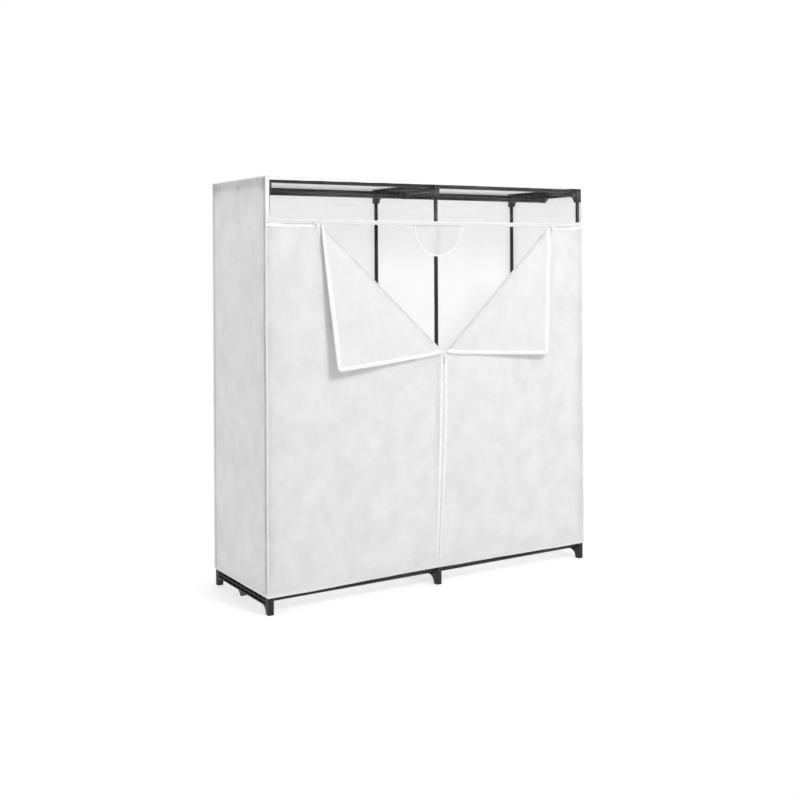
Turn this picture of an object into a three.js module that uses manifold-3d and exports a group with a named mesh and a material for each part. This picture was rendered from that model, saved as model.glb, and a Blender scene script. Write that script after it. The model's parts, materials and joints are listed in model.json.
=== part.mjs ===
// A portable fabric wardrobe: a steel tube frame in moulded brackets, under a zipped cloth cover.
// Millimetres. +Z is up, +X is to the right seen from the front, and the front faces -Y.
// The origin is on the floor, under the middle of the whole wardrobe, turned-out corners included.

import * as THREE from 'three';
import { mergeVertices } from 'three/addons/utils/BufferGeometryUtils.js';
import Module from 'manifold-3d';

const wasm = await Module();
wasm.setup();

// Overall size, over the cloth cover
const COVER_WIDTH = 1524;
const COVER_DEPTH = 500;
const COVER_HEIGHT = 1626;
const COVER_SETBACK = 22;

// Cloth
const CLOTH_THICKNESS = 0.8;
const CLOTH_CLEARANCE = 1.2;
const SEAM_GAP = 0.3;
const CUT_OVERRUN = 5;

// Frame tubes
const TUBE_DIAMETER = 16;
const TUBE_WALL = 0.6;
const TUBE_SIDES = 16;
const FIT_CLEARANCE = 0.3;
const SEAT_GAP = 0.3;
const PEG_LENGTH = 28;
const POST_JOINT_HEIGHT = 800;
const SWAGE_LENGTH = 36;
const SWAGE_TAPER = 4;

// Moulded brackets
const BRACKET_THICKNESS = 23;
const LEG_DEPTH = 23;
const BAR_HEIGHT = 34;
const FOOT_DROP = 32;
const SOCKET_DROP = 26;
const GUSSET_LENGTH = 32;
const GUSSET_START = 2;
const GUSSET_STEPS = 6;
const TAB_HALF_WIDTH = 24;
const TAB_NOSE_RADIUS = 9;
const ROD_DROP = 10;
const CHANNEL_DEPTH = 9.5;
const CHANNEL_FLANGE = 4;
const CHANNEL_RIB = 4;
const TOP_RAIL_DROP = 13;
const BOTTOM_RAIL_DROP = 8.5;

// Piping and hem
const PIPING_RADIUS = 2.5;
const PIPING_SIDES = 8;
const HEM_EDGE_HEIGHT = 67;
const HEM_HEIGHT = 12;
const HEM_THICKNESS = 1.6;

// Zips
const ZIP_X = 29;
const ZIP_LEAN = 32;
const TOP_ZIP_DROP = 174;
const ZIP_FOOT_HEIGHT = 110;
const TAPE_WIDTH = 13;
const WINDOW_BINDING_WIDTH = 16;
const CHAIN_HALF_WIDTH = 2.5;
const CHAIN_PROUD = 1.2;
const TOP_ZIP_END_INSET = 70;
const STOP_WIDTH = 8;
const STOP_HEIGHT = 6;
const STOP_THICKNESS = 2;

// Turned-out door corners
const LEFT_APEX_INSET = 222;
const RIGHT_APEX_INSET = 185;
const FOLD_HEIGHT = 520;
const FOLD_TIP_TRIM = 10;
const LEFT_TILT_DEGREES = 7;
const RIGHT_TILT_DEGREES = 5;

// Window
const WINDOW_THICKNESS = 0.5;

// Half-round guard behind the zips' crossing
const GUARD_X = 8;
const GUARD_HALF_WIDTH = 117;
const GUARD_STRAIGHT = 14;
const GUARD_DROP = 136;
const GUARD_RISE = 11;
const GUARD_THICKNESS = 0.8;
const GUARD_CLEARANCE = 0.4;
const GUARD_BINDING_WIDTH = 7;
const GUARD_STEPS = 24;

// Zip sliders and pulls
const SLIDER_LENGTH = 18;
const SLIDER_NOSE_WIDTH = 8.4;
const SLIDER_WIDTH = 11.4;
const SLIDER_PLATE = 2.8;
const CENTRE_SLIDER_DROP = 14;
const TOP_SLIDER_SETBACK = 14;
const EAR_THICKNESS = 1.2;
const EAR_HEIGHT = 7;
const EAR_PROUD = 4.4;
const PIN_RADIUS = 0.8;
const PIN_PROUD = 2.8;
const PIN_SIDES = 10;
const PULL_WIDTH = 4.6;
const PULL_LENGTH = 22;
const PULL_THICKNESS = 1.4;
const PULL_EYE_RADIUS = 2.3;
const POST_HEAD_RADIUS = 1.8;
const POST_HEAD_THICKNESS = 0.8;

// Places worked out from the sizes above
const COVER_OFFSET = CLOTH_CLEARANCE + CLOTH_THICKNESS;
const FRAME_HALF_WIDTH = COVER_WIDTH / 2 - COVER_OFFSET;
const FRAME_HALF_DEPTH = COVER_DEPTH / 2 - COVER_OFFSET;
const FRAME_TOP = COVER_HEIGHT - COVER_OFFSET;
const FRONT_FACE = -COVER_DEPTH / 2;
const FRONT_BACKING = FRONT_FACE + CLOTH_THICKNESS;
const TUBE_RADIUS = TUBE_DIAMETER / 2;
const BORE_RADIUS = TUBE_RADIUS - TUBE_WALL;
const PEG_RADIUS = BORE_RADIUS - FIT_CLEARANCE;
const POST_Y = FRAME_HALF_DEPTH - LEG_DEPTH / 2;
const BRACKET_X = FRAME_HALF_WIDTH - BRACKET_THICKNESS / 2;
const LOWER_BAR_TOP = FOOT_DROP + BAR_HEIGHT;
const UPPER_BAR_FOOT = FRAME_TOP - BAR_HEIGHT;
const TOP_RAIL_Z = FRAME_TOP - TOP_RAIL_DROP;
const BOTTOM_RAIL_Z = LOWER_BAR_TOP - BOTTOM_RAIL_DROP;
const ROD_Z = UPPER_BAR_FOOT - ROD_DROP;
const TOP_ZIP_HEIGHT = COVER_HEIGHT - TOP_ZIP_DROP;
const FOLD_FOOT_HEIGHT = TOP_ZIP_HEIGHT - FOLD_HEIGHT;
const LEFT_APEX_X = LEFT_APEX_INSET - COVER_WIDTH / 2;
const RIGHT_APEX_X = COVER_WIDTH / 2 - RIGHT_APEX_INSET;
const GUARD_TOP_HEIGHT = TOP_ZIP_HEIGHT + GUARD_RISE;
const PIPING_ROOM = PIPING_RADIUS + SEAM_GAP;
const PANEL_HALF_WIDTH = COVER_WIDTH / 2 - PIPING_ROOM;
const PANEL_HALF_DEPTH = COVER_DEPTH / 2 - PIPING_ROOM;
const PANEL_TOP = COVER_HEIGHT - PIPING_ROOM;
const PANEL_FOOT = HEM_EDGE_HEIGHT + HEM_HEIGHT + SEAM_GAP;
const FOLD_AXIS_Y = FRONT_FACE - SEAM_GAP / 2;
const DOOR_TOP = TOP_ZIP_HEIGHT - SEAM_GAP - TAPE_WIDTH - SEAM_GAP;
const TAPE_INNER_OFFSET = SEAM_GAP + TAPE_WIDTH + SEAM_GAP;
const CHAIN_FACE = FRONT_FACE - CHAIN_PROUD;

// Materials
const plastic = () => new THREE.MeshStandardMaterial({ color: 0x2b2b2c, roughness: 0.55, metalness: 0 });
const steel = () => new THREE.MeshStandardMaterial({ color: 0x1f1f20, roughness: 0.4, metalness: 0.3 });
const cloth = () => new THREE.MeshStandardMaterial({ color: 0xf2f2f2, roughness: 0.9, metalness: 0 });
const tape = () => new THREE.MeshStandardMaterial({ color: 0xfafafa, roughness: 0.8, metalness: 0 });
const zipMetal = () => new THREE.MeshStandardMaterial({ color: 0xf4f4f4, roughness: 0.4, metalness: 0 });
const vinyl = () =>
  new THREE.MeshStandardMaterial({ color: 0xf0f2f2, roughness: 0.1, transparent: true, opacity: 0.3 });

// Turns a closed geometry into a solid for cutting and joining
function toSolid(geometry) {
  const bare = geometry.clone();
  bare.deleteAttribute('normal');
  bare.deleteAttribute('uv');
  const merged = mergeVertices(bare);
  const triangles = merged.index.array;
  return new wasm.Manifold(
    new wasm.Mesh({
      numProp: 3,
      vertProperties: new Float32Array(merged.attributes.position.array),
      triVerts: new Uint32Array(triangles),
    }),
  );
}

// Turns a solid back into a geometry
function toGeometry(solid) {
  const mesh = solid.getMesh();
  const geometry = new THREE.BufferGeometry();
  geometry.setAttribute('position', new THREE.BufferAttribute(mesh.vertProperties, 3));
  geometry.setIndex(new THREE.BufferAttribute(mesh.triVerts, 1));
  geometry.computeVertexNormals();
  return geometry;
}

// Joins solids into one
function joinAll(solids) {
  return solids.reduce((whole, next) => whole.add(next));
}

function namedMesh(name, geometry, material) {
  const mesh = new THREE.Mesh(geometry, material);
  mesh.name = name;
  return mesh;
}

// A box given by its lowest and highest corners
function boxBetween(low, high) {
  const size = high.map((value, axis) => value - low[axis]);
  const middle = high.map((value, axis) => (value + low[axis]) / 2);
  return new THREE.BoxGeometry(...size).translate(...middle);
}

// A shape drawn with Y across and Z up, extruded along X about its middle
function extrudeAlongX(shape, thickness, curveSegments) {
  const geometry = new THREE.ExtrudeGeometry(shape, { depth: thickness, bevelEnabled: false, curveSegments });
  geometry.translate(0, 0, -thickness / 2);
  const turn = new THREE.Matrix4().makeBasis(
    new THREE.Vector3(0, 1, 0),
    new THREE.Vector3(0, 0, 1),
    new THREE.Vector3(1, 0, 0),
  );
  return geometry.applyMatrix4(turn);
}

// A shape drawn with X across and Z up, extruded from the plane at backY towards the front
function extrudeToFront(shape, backY, thickness, curveSegments) {
  const geometry = new THREE.ExtrudeGeometry(shape, { depth: thickness, bevelEnabled: false, curveSegments });
  const turn = new THREE.Matrix4().makeBasis(
    new THREE.Vector3(1, 0, 0),
    new THREE.Vector3(0, 0, 1),
    new THREE.Vector3(0, -1, 0),
  );
  geometry.applyMatrix4(turn);
  return geometry.translate(0, backY, 0);
}

// A round bar about Z that starts at the origin
function roundBar(radius, length, sides = TUBE_SIDES) {
  return new THREE.CylinderGeometry(radius, radius, length, sides).rotateX(Math.PI / 2).translate(0, 0, length / 2);
}

// A turned, hollow tube about Z from its closed wall profile
function turnedTube(profile) {
  const points = profile.map(([radius, height]) => new THREE.Vector2(radius, height));
  points.push(points[0].clone());
  return new THREE.LatheGeometry(points, TUBE_SIDES).rotateX(Math.PI / 2);
}

// A plain tube about Z, from the origin up
function plainTube(length) {
  return turnedTube([
    [BORE_RADIUS, 0],
    [TUBE_RADIUS, 0],
    [TUBE_RADIUS, length],
    [BORE_RADIUS, length],
  ]);
}

// A lower post: a plain tube whose top end is swaged to enter the upper post
function swagedTube(length) {
  const swageBore = PEG_RADIUS - TUBE_WALL;
  return turnedTube([
    [BORE_RADIUS, 0],
    [TUBE_RADIUS, 0],
    [TUBE_RADIUS, length],
    [PEG_RADIUS, length],
    [PEG_RADIUS, length + SWAGE_LENGTH],
    [swageBore, length + SWAGE_LENGTH],
    [swageBore, length - SWAGE_TAPER],
    [BORE_RADIUS, length - SWAGE_TAPER - TUBE_WALL],
  ]);
}

// Side outline of a bracket, with the foot of its bar at zero height
function bracketOutline(drop) {
  const legInside = FRAME_HALF_DEPTH - LEG_DEPTH;
  const gussetEnd = legInside - GUSSET_LENGTH;
  const gussetHeight = drop - GUSSET_START;
  const slope = Math.hypot(TAB_HALF_WIDTH, ROD_DROP);
  const tangent = Math.PI - Math.atan2(ROD_DROP, TAB_HALF_WIDTH) + Math.acos(TAB_NOSE_RADIUS / slope);
  const outline = new THREE.Shape();
  outline.moveTo(-FRAME_HALF_DEPTH, BAR_HEIGHT);
  outline.lineTo(-FRAME_HALF_DEPTH, -drop);
  outline.lineTo(-legInside, -drop);
  outline.absellipse(-gussetEnd, -gussetHeight, GUSSET_LENGTH, gussetHeight, Math.PI, Math.PI / 2, true);
  outline.lineTo(-TAB_HALF_WIDTH, 0);
  outline.absarc(0, -ROD_DROP, TAB_NOSE_RADIUS, tangent, 3 * Math.PI - tangent, false);
  outline.lineTo(TAB_HALF_WIDTH, 0);
  outline.absellipse(gussetEnd, -gussetHeight, GUSSET_LENGTH, gussetHeight, Math.PI / 2, 0, true);
  outline.lineTo(legInside, -drop);
  outline.lineTo(FRAME_HALF_DEPTH, -drop);
  outline.lineTo(FRAME_HALF_DEPTH, BAR_HEIGHT);
  outline.closePath();
  return outline;
}

// The long channels moulded into both faces of a bracket's bar
function barChannels() {
  const rowHeight = (BAR_HEIGHT - 2 * CHANNEL_FLANGE - CHANNEL_RIB) / 2;
  const end = FRAME_HALF_DEPTH - LEG_DEPTH - CHANNEL_RIB;
  const channels = [];
  for (const row of [0, 1]) {
    const foot = CHANNEL_FLANGE + row * (rowHeight + CHANNEL_RIB);
    for (const side of [-1, 1]) {
      const floor = side * (BRACKET_THICKNESS / 2 - CHANNEL_DEPTH);
      const mouth = side * (BRACKET_THICKNESS / 2 + CUT_OVERRUN);
      const low = [Math.min(floor, mouth), -end, foot];
      const high = [Math.max(floor, mouth), end, foot + rowHeight];
      channels.push(toSolid(boxBetween(low, high)));
    }
  }
  return joinAll(channels);
}

// Pegs that enter the rails and rods on one side of a bracket
function sidePegs(side, places) {
  const reach = BRACKET_THICKNESS / 2 + PEG_LENGTH;
  return places.map(([y, z]) =>
    toSolid(roundBar(PEG_RADIUS, reach).rotateY((side * Math.PI) / 2).translate(0, y, z)),
  );
}

// A whole bracket: legs, gussets, bar with channels, middle tab and pegs
function bracket(drop, railHeight, postsUp, holdsRods, sides) {
  const body = toSolid(extrudeAlongX(bracketOutline(drop), BRACKET_THICKNESS, GUSSET_STEPS));
  const places = [
    [-POST_Y, railHeight],
    [POST_Y, railHeight],
  ];
  if (holdsRods) {
    places.push([0, -ROD_DROP]);
  }
  const pegs = sides.flatMap((side) => sidePegs(side, places));
  for (const y of [-POST_Y, POST_Y]) {
    const peg = postsUp
      ? roundBar(PEG_RADIUS, PEG_LENGTH + CUT_OVERRUN).translate(0, y, BAR_HEIGHT - CUT_OVERRUN)
      : roundBar(PEG_RADIUS, PEG_LENGTH + CUT_OVERRUN).translate(0, y, -drop - PEG_LENGTH);
    pegs.push(toSolid(peg));
  }
  return toGeometry(joinAll([body.subtract(barChannels()), ...pegs]));
}

const COLUMNS = [
  { name: 'left', x: -BRACKET_X, sides: [1] },
  { name: 'centre', x: 0, sides: [-1, 1] },
  { name: 'right', x: BRACKET_X, sides: [-1] },
];
const ROWS = [
  { name: 'front', y: -POST_Y },
  { name: 'back', y: POST_Y },
];
const BAYS = [
  { name: 'left', x: -BRACKET_X },
  { name: 'right', x: 0 },
];

function makeBrackets() {
  const group = new THREE.Group();
  for (const { name, x, sides } of COLUMNS) {
    const lower = bracket(FOOT_DROP, BAR_HEIGHT - BOTTOM_RAIL_DROP, true, false, sides);
    const lowerMesh = namedMesh(`${name}_lower_bracket`, lower, plastic());
    lowerMesh.position.set(x, 0, FOOT_DROP);
    const upper = bracket(SOCKET_DROP, BAR_HEIGHT - TOP_RAIL_DROP, false, true, sides);
    const upperMesh = namedMesh(`${name}_upper_bracket`, upper, plastic());
    upperMesh.position.set(x, 0, UPPER_BAR_FOOT);
    group.add(lowerMesh, upperMesh);
  }
  return group;
}

function makePosts() {
  const group = new THREE.Group();
  const lowerFoot = LOWER_BAR_TOP + SEAT_GAP;
  const upperFoot = POST_JOINT_HEIGHT + SEAT_GAP;
  const upperLength = UPPER_BAR_FOOT - SOCKET_DROP - SEAT_GAP - upperFoot;
  for (const column of COLUMNS) {
    for (const row of ROWS) {
      const place = `${column.name}_${row.name}`;
      const lower = namedMesh(`${place}_lower_post`, swagedTube(POST_JOINT_HEIGHT - lowerFoot), steel());
      lower.position.set(column.x, row.y, lowerFoot);
      const upper = namedMesh(`${place}_upper_post`, plainTube(upperLength), steel());
      upper.position.set(column.x, row.y, upperFoot);
      group.add(lower, upper);
    }
  }
  return group;
}

// Rails and hanging rods: plain tubes along X between two neighbouring brackets
function makeRails() {
  const group = new THREE.Group();
  const length = BRACKET_X - BRACKET_THICKNESS - 2 * SEAT_GAP;
  for (const bay of BAYS) {
    const runs = [{ name: `${bay.name}_hanging_rod`, y: 0, z: ROD_Z }];
    for (const row of ROWS) {
      runs.push({ name: `${bay.name}_${row.name}_top_rail`, y: row.y, z: TOP_RAIL_Z });
      runs.push({ name: `${bay.name}_${row.name}_bottom_rail`, y: row.y, z: BOTTOM_RAIL_Z });
    }
    for (const { name, y, z } of runs) {
      const rail = namedMesh(name, plainTube(length), steel());
      rail.rotation.y = Math.PI / 2;
      rail.position.set(bay.x + BRACKET_THICKNESS / 2 + SEAT_GAP, y, z);
      group.add(rail);
    }
  }
  return group;
}

// A closed band round the cover: a section of outward and upward offsets, mitred at the corners
function mitredLoop(halfWidth, halfDepth, height, section) {
  const corners = [
    [-1, -1],
    [1, -1],
    [1, 1],
    [-1, 1],
  ];
  const positions = [];
  for (const [sx, sy] of corners) {
    for (const [out, up] of section) {
      positions.push(sx * (halfWidth + out), sy * (halfDepth + out), height + up);
    }
  }
  const count = section.length;
  const index = [];
  corners.forEach((_, corner) => {
    const next = (corner + 1) % corners.length;
    section.forEach((__, point) => {
      const after = (point + 1) % count;
      const a = corner * count + point;
      const b = corner * count + after;
      const c = next * count + after;
      const d = next * count + point;
      index.push(a, c, b, a, d, c);
    });
  });
  const geometry = new THREE.BufferGeometry();
  geometry.setAttribute('position', new THREE.Float32BufferAttribute(positions, 3));
  geometry.setIndex(index);
  return geometry;
}

function roundSection(radius, sides) {
  return Array.from({ length: sides }, (_, step) => {
    const angle = ((step + 1 / 2) / sides) * 2 * Math.PI;
    return [radius * Math.cos(angle), radius * Math.sin(angle)];
  });
}

function makeTrim() {
  const group = new THREE.Group();
  const pipingFoot = PANEL_FOOT;
  const pipingLength = PANEL_TOP - pipingFoot;
  for (const [side, sx] of [['left', -1], ['right', 1]]) {
    for (const [face, sy] of [['front', -1], ['back', 1]]) {
      const piping = roundBar(PIPING_RADIUS, pipingLength, PIPING_SIDES);
      const mesh = namedMesh(`${side}_${face}_piping`, piping, tape());
      mesh.position.set((sx * COVER_WIDTH) / 2, (sy * COVER_DEPTH) / 2, pipingFoot);
      group.add(mesh);
    }
  }
  const topSection = roundSection(PIPING_RADIUS, PIPING_SIDES);
  const topLoop = mitredLoop(COVER_WIDTH / 2, COVER_DEPTH / 2, COVER_HEIGHT, topSection);
  const hemSection = [
    [0, 0],
    [HEM_THICKNESS, 0],
    [HEM_THICKNESS, HEM_HEIGHT],
    [0, HEM_HEIGHT],
  ];
  const hemWidth = FRAME_HALF_WIDTH + CLOTH_CLEARANCE;
  const hemDepth = FRAME_HALF_DEPTH + CLOTH_CLEARANCE;
  const hemLoop = mitredLoop(hemWidth, hemDepth, HEM_EDGE_HEIGHT, hemSection);
  group.add(namedMesh('top_piping', topLoop, tape()), namedMesh('bottom_hem', hemLoop, tape()));
  return group;
}

// The flat cloth panels that close the top, the two sides and the back
function makePanels() {
  const group = new THREE.Group();
  const outerX = COVER_WIDTH / 2;
  const outerY = COVER_DEPTH / 2;
  const top = boxBetween(
    [-PANEL_HALF_WIDTH, -PANEL_HALF_DEPTH, COVER_HEIGHT - CLOTH_THICKNESS],
    [PANEL_HALF_WIDTH, PANEL_HALF_DEPTH, COVER_HEIGHT],
  );
  const back = boxBetween(
    [-PANEL_HALF_WIDTH, outerY - CLOTH_THICKNESS, PANEL_FOOT],
    [PANEL_HALF_WIDTH, outerY, PANEL_TOP],
  );
  const left = boxBetween(
    [-outerX, -PANEL_HALF_DEPTH, PANEL_FOOT],
    [-outerX + CLOTH_THICKNESS, PANEL_HALF_DEPTH, PANEL_TOP],
  );
  const right = boxBetween(
    [outerX - CLOTH_THICKNESS, -PANEL_HALF_DEPTH, PANEL_FOOT],
    [outerX, PANEL_HALF_DEPTH, PANEL_TOP],
  );
  group.add(
    namedMesh('top_panel', top, cloth()),
    namedMesh('back_panel', back, cloth()),
    namedMesh('left_side_panel', left, cloth()),
    namedMesh('right_side_panel', right, cloth()),
  );
  return group;
}

// A flat piece in the front's plane, between two widths and two heights
function frontPiece(x0, x1, z0, z1) {
  return toSolid(boxBetween([x0, FRONT_FACE, z0], [x1, FRONT_BACKING, z1]));
}

// X of the centre zip, which leans from the fold's foot down to its own foot
function zipXAt(z) {
  return ZIP_X + (ZIP_LEAN * (z - FOLD_FOOT_HEIGHT)) / (FOLD_FOOT_HEIGHT - ZIP_FOOT_HEIGHT);
}

// A strip of one side of the leaning centre zip, between two distances off its line
function besideZip(side, near, far, z0, z1, backY, thickness) {
  const shape = new THREE.Shape();
  shape.moveTo(zipXAt(z0) + side * near, z0);
  shape.lineTo(zipXAt(z0) + side * far, z0);
  shape.lineTo(zipXAt(z1) + side * far, z1);
  shape.lineTo(zipXAt(z1) + side * near, z1);
  shape.closePath();
  return toSolid(extrudeToFront(shape, backY, thickness, 1));
}

// A row of zip teeth that stands proud of its tape
function chainBead(x0, x1, z0, z1) {
  return toSolid(boxBetween([x0, CHAIN_FACE, z0], [x1, FRONT_FACE + CLOTH_THICKNESS / 2, z1]));
}

// The diagonal fold of one door corner: its apex on the top zip, its foot on the centre zip
function foldOf(side) {
  const apexX = side < 0 ? LEFT_APEX_X : RIGHT_APEX_X;
  const apex = new THREE.Vector2(apexX, TOP_ZIP_HEIGHT);
  const foot = new THREE.Vector2(ZIP_X, FOLD_FOOT_HEIGHT);
  const along = foot.clone().sub(apex).normalize();
  const inward = new THREE.Vector2(side * along.y, -side * along.x);
  const tilt = side < 0 ? LEFT_TILT_DEGREES : RIGHT_TILT_DEGREES;
  return { side, apex, foot, along, inward, tilt };
}

// Everything on the opening's side of a fold, at a distance from the fold line
function openingSide({ apex, foot, along, inward }, distance) {
  const reach = COVER_WIDTH;
  const start = apex.clone().addScaledVector(along, -reach).addScaledVector(inward, distance);
  const end = foot.clone().addScaledVector(along, reach).addScaledVector(inward, distance);
  const shape = new THREE.Shape([
    start,
    end,
    end.clone().addScaledVector(inward, reach),
    start.clone().addScaledVector(inward, reach),
  ]);
  const depth = CLOTH_THICKNESS + 2 * CUT_OVERRUN;
  return toSolid(extrudeToFront(shape, FRONT_BACKING + CUT_OVERRUN, depth, 1));
}

// A span along X that starts at the zip's line and runs to one side
function spanFrom(side, near, far) {
  const ends = [ZIP_X + side * near, ZIP_X + side * far];
  return [Math.min(...ends), Math.max(...ends)];
}

// A door panel, cut away at its zip and at its fold
function doorPanel(fold) {
  const { side } = fold;
  const ends = [-side * COVER_WIDTH, side * PANEL_HALF_WIDTH];
  const panel = frontPiece(Math.min(...ends), Math.max(...ends), PANEL_FOOT, DOOR_TOP);
  const depth = CLOTH_THICKNESS + 2 * CUT_OVERRUN;
  const cutBack = FRONT_BACKING + CUT_OVERRUN;
  const beyond = besideZip(side, -2 * COVER_WIDTH, SEAM_GAP / 2, 0, COVER_HEIGHT, cutBack, depth);
  const pocketFoot = ZIP_FOOT_HEIGHT - SEAM_GAP;
  const pocket = besideZip(side, -CUT_OVERRUN, TAPE_INNER_OFFSET, pocketFoot, COVER_HEIGHT, cutBack, depth);
  return panel.subtract(beyond).subtract(pocket).subtract(openingSide(fold, -SEAM_GAP / 2));
}

// One half of the centre zip, up to where the door's corner folds away
function centreZipHalf(fold) {
  const { side } = fold;
  const band = besideZip(
    side, SEAM_GAP, SEAM_GAP + TAPE_WIDTH, ZIP_FOOT_HEIGHT, TOP_ZIP_HEIGHT, FRONT_BACKING, CLOTH_THICKNESS,
  );
  const beadTop = FOLD_FOOT_HEIGHT - SEAM_GAP;
  const beadBack = FRONT_FACE + CLOTH_THICKNESS / 2;
  const bead = besideZip(
    side, SEAM_GAP, SEAM_GAP + CHAIN_HALF_WIDTH, ZIP_FOOT_HEIGHT, beadTop, beadBack, beadBack - CHAIN_FACE,
  );
  return band.subtract(openingSide(fold, -SEAM_GAP / 2)).add(bead);
}

// The door's half of a top zip, from the cover's edge to the fold
function topZipHalf(fold) {
  const { side, apex } = fold;
  const outer = PANEL_HALF_WIDTH - side * ZIP_X;
  const zipTop = TOP_ZIP_HEIGHT - SEAM_GAP;
  const band = frontPiece(...spanFrom(side, SEAM_GAP, outer), zipTop - TAPE_WIDTH, zipTop);
  const beadEnds = [apex.x + side * FOLD_TIP_TRIM, side * (COVER_WIDTH / 2 - TOP_ZIP_END_INSET)];
  const bead = chainBead(Math.min(...beadEnds), Math.max(...beadEnds), zipTop - CHAIN_HALF_WIDTH, zipTop);
  return band.subtract(openingSide(fold, -SEAM_GAP / 2)).add(bead);
}

// Cloth of a turned-out corner, drawn closed in the door's plane
function cornerCloth(fold) {
  const { side, apex } = fold;
  const reach = Math.abs(apex.x - ZIP_X) - FOLD_TIP_TRIM;
  const piece = frontPiece(...spanFrom(side, TAPE_INNER_OFFSET, reach), FOLD_FOOT_HEIGHT, DOOR_TOP);
  return piece.intersect(openingSide(fold, SEAM_GAP / 2));
}

// Zip tape along the two free edges of a turned-out corner, drawn closed
function cornerTape(fold) {
  const { side, apex } = fold;
  const zipTop = TOP_ZIP_HEIGHT - SEAM_GAP;
  const reach = Math.abs(apex.x - ZIP_X) - FOLD_TIP_TRIM;
  const tipHeight = FOLD_FOOT_HEIGHT + FOLD_TIP_TRIM;
  const upright = frontPiece(...spanFrom(side, SEAM_GAP, SEAM_GAP + TAPE_WIDTH), tipHeight, zipTop);
  const level = frontPiece(...spanFrom(side, SEAM_GAP, reach), zipTop - TAPE_WIDTH, zipTop);
  return upright.add(level).intersect(openingSide(fold, SEAM_GAP / 2));
}

// A door corner on its fold, turned from closed to lying out on the door
function turnedCorner(fold, name) {
  const { side, apex, along, tilt } = fold;
  const pivot = new THREE.Vector3(apex.x, FOLD_AXIS_Y, apex.y);
  const axis = new THREE.Vector3(-side * along.x, 0, -side * along.y);
  const hinge = new THREE.Group();
  hinge.position.copy(pivot);
  hinge.quaternion.setFromAxisAngle(axis, THREE.MathUtils.degToRad(180 - tilt));
  const pieces = [
    namedMesh(`${name}_corner_flap`, toGeometry(cornerCloth(fold)), cloth()),
    namedMesh(`${name}_corner_zip`, toGeometry(cornerTape(fold)), tape()),
  ];
  for (const piece of pieces) {
    piece.position.copy(pivot).negate();
    hinge.add(piece);
  }
  return hinge;
}

function makeDoors() {
  const group = new THREE.Group();
  for (const [name, side] of [['left', -1], ['right', 1]]) {
    const fold = foldOf(side);
    group.add(
      namedMesh(`${name}_door`, toGeometry(doorPanel(fold)), cloth()),
      namedMesh(`${name}_centre_zip`, toGeometry(centreZipHalf(fold)), tape()),
      namedMesh(`${name}_top_zip`, toGeometry(topZipHalf(fold)), tape()),
      turnedCorner(fold, name),
    );
  }
  const stopX = zipXAt(ZIP_FOOT_HEIGHT);
  const stop = boxBetween(
    [stopX - STOP_WIDTH / 2, FRONT_FACE - SEAM_GAP - STOP_THICKNESS, ZIP_FOOT_HEIGHT - SEAM_GAP - STOP_HEIGHT],
    [stopX + STOP_WIDTH / 2, FRONT_FACE - SEAM_GAP, ZIP_FOOT_HEIGHT - SEAM_GAP],
  );
  group.add(namedMesh('centre_zip_stop', stop, zipMetal()));
  return group;
}

// The clear window and the upper half of the top zip, which is bound to its lower edge
function makeWindow() {
  const group = new THREE.Group();
  const zipFoot = TOP_ZIP_HEIGHT + SEAM_GAP;
  const bindingTop = zipFoot + WINDOW_BINDING_WIDTH;
  const binding = frontPiece(-PANEL_HALF_WIDTH, PANEL_HALF_WIDTH, zipFoot, bindingTop);
  const beadEnd = COVER_WIDTH / 2 - TOP_ZIP_END_INSET;
  const bead = chainBead(-beadEnd, beadEnd, zipFoot, zipFoot + CHAIN_HALF_WIDTH);
  const pane = boxBetween(
    [-PANEL_HALF_WIDTH, FRONT_FACE, bindingTop + SEAM_GAP],
    [PANEL_HALF_WIDTH, FRONT_FACE + WINDOW_THICKNESS, PANEL_TOP],
  );
  group.add(
    namedMesh('window_zip_binding', toGeometry(binding.add(bead)), tape()),
    namedMesh('window', pane, vinyl()),
  );
  return group;
}

// Outline of the half-round guard, drawn in by an inset, with its straight top edge raised
function guardOutline(inset, rise) {
  const halfWidth = GUARD_HALF_WIDTH - inset;
  const springing = GUARD_TOP_HEIGHT - GUARD_STRAIGHT;
  const roundDrop = GUARD_DROP - GUARD_STRAIGHT - inset;
  const outline = new THREE.Shape();
  outline.moveTo(GUARD_X - halfWidth, GUARD_TOP_HEIGHT + rise);
  outline.lineTo(GUARD_X - halfWidth, springing);
  outline.absellipse(GUARD_X, springing, halfWidth, roundDrop, Math.PI, 2 * Math.PI, false);
  outline.lineTo(GUARD_X + halfWidth, GUARD_TOP_HEIGHT + rise);
  outline.closePath();
  return outline;
}

// The half-round guard: its cloth and the binding round its free edge
function makeGuard() {
  const backY = FRONT_BACKING + GUARD_CLEARANCE + GUARD_THICKNESS;
  const clothOutline = guardOutline(GUARD_BINDING_WIDTH + SEAM_GAP, 0);
  const guard = extrudeToFront(clothOutline, backY, GUARD_THICKNESS, GUARD_STEPS);
  const outer = toSolid(extrudeToFront(guardOutline(0, 0), backY, GUARD_THICKNESS, GUARD_STEPS));
  const cutOutline = guardOutline(GUARD_BINDING_WIDTH, CUT_OVERRUN);
  const cutDepth = GUARD_THICKNESS + 2 * CUT_OVERRUN;
  const cut = toSolid(extrudeToFront(cutOutline, backY + CUT_OVERRUN, cutDepth, GUARD_STEPS));
  const group = new THREE.Group();
  group.add(
    namedMesh('zip_guard', guard, cloth()),
    namedMesh('zip_guard_binding', toGeometry(outer.subtract(cut)), tape()),
  );
  return group;
}

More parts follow.
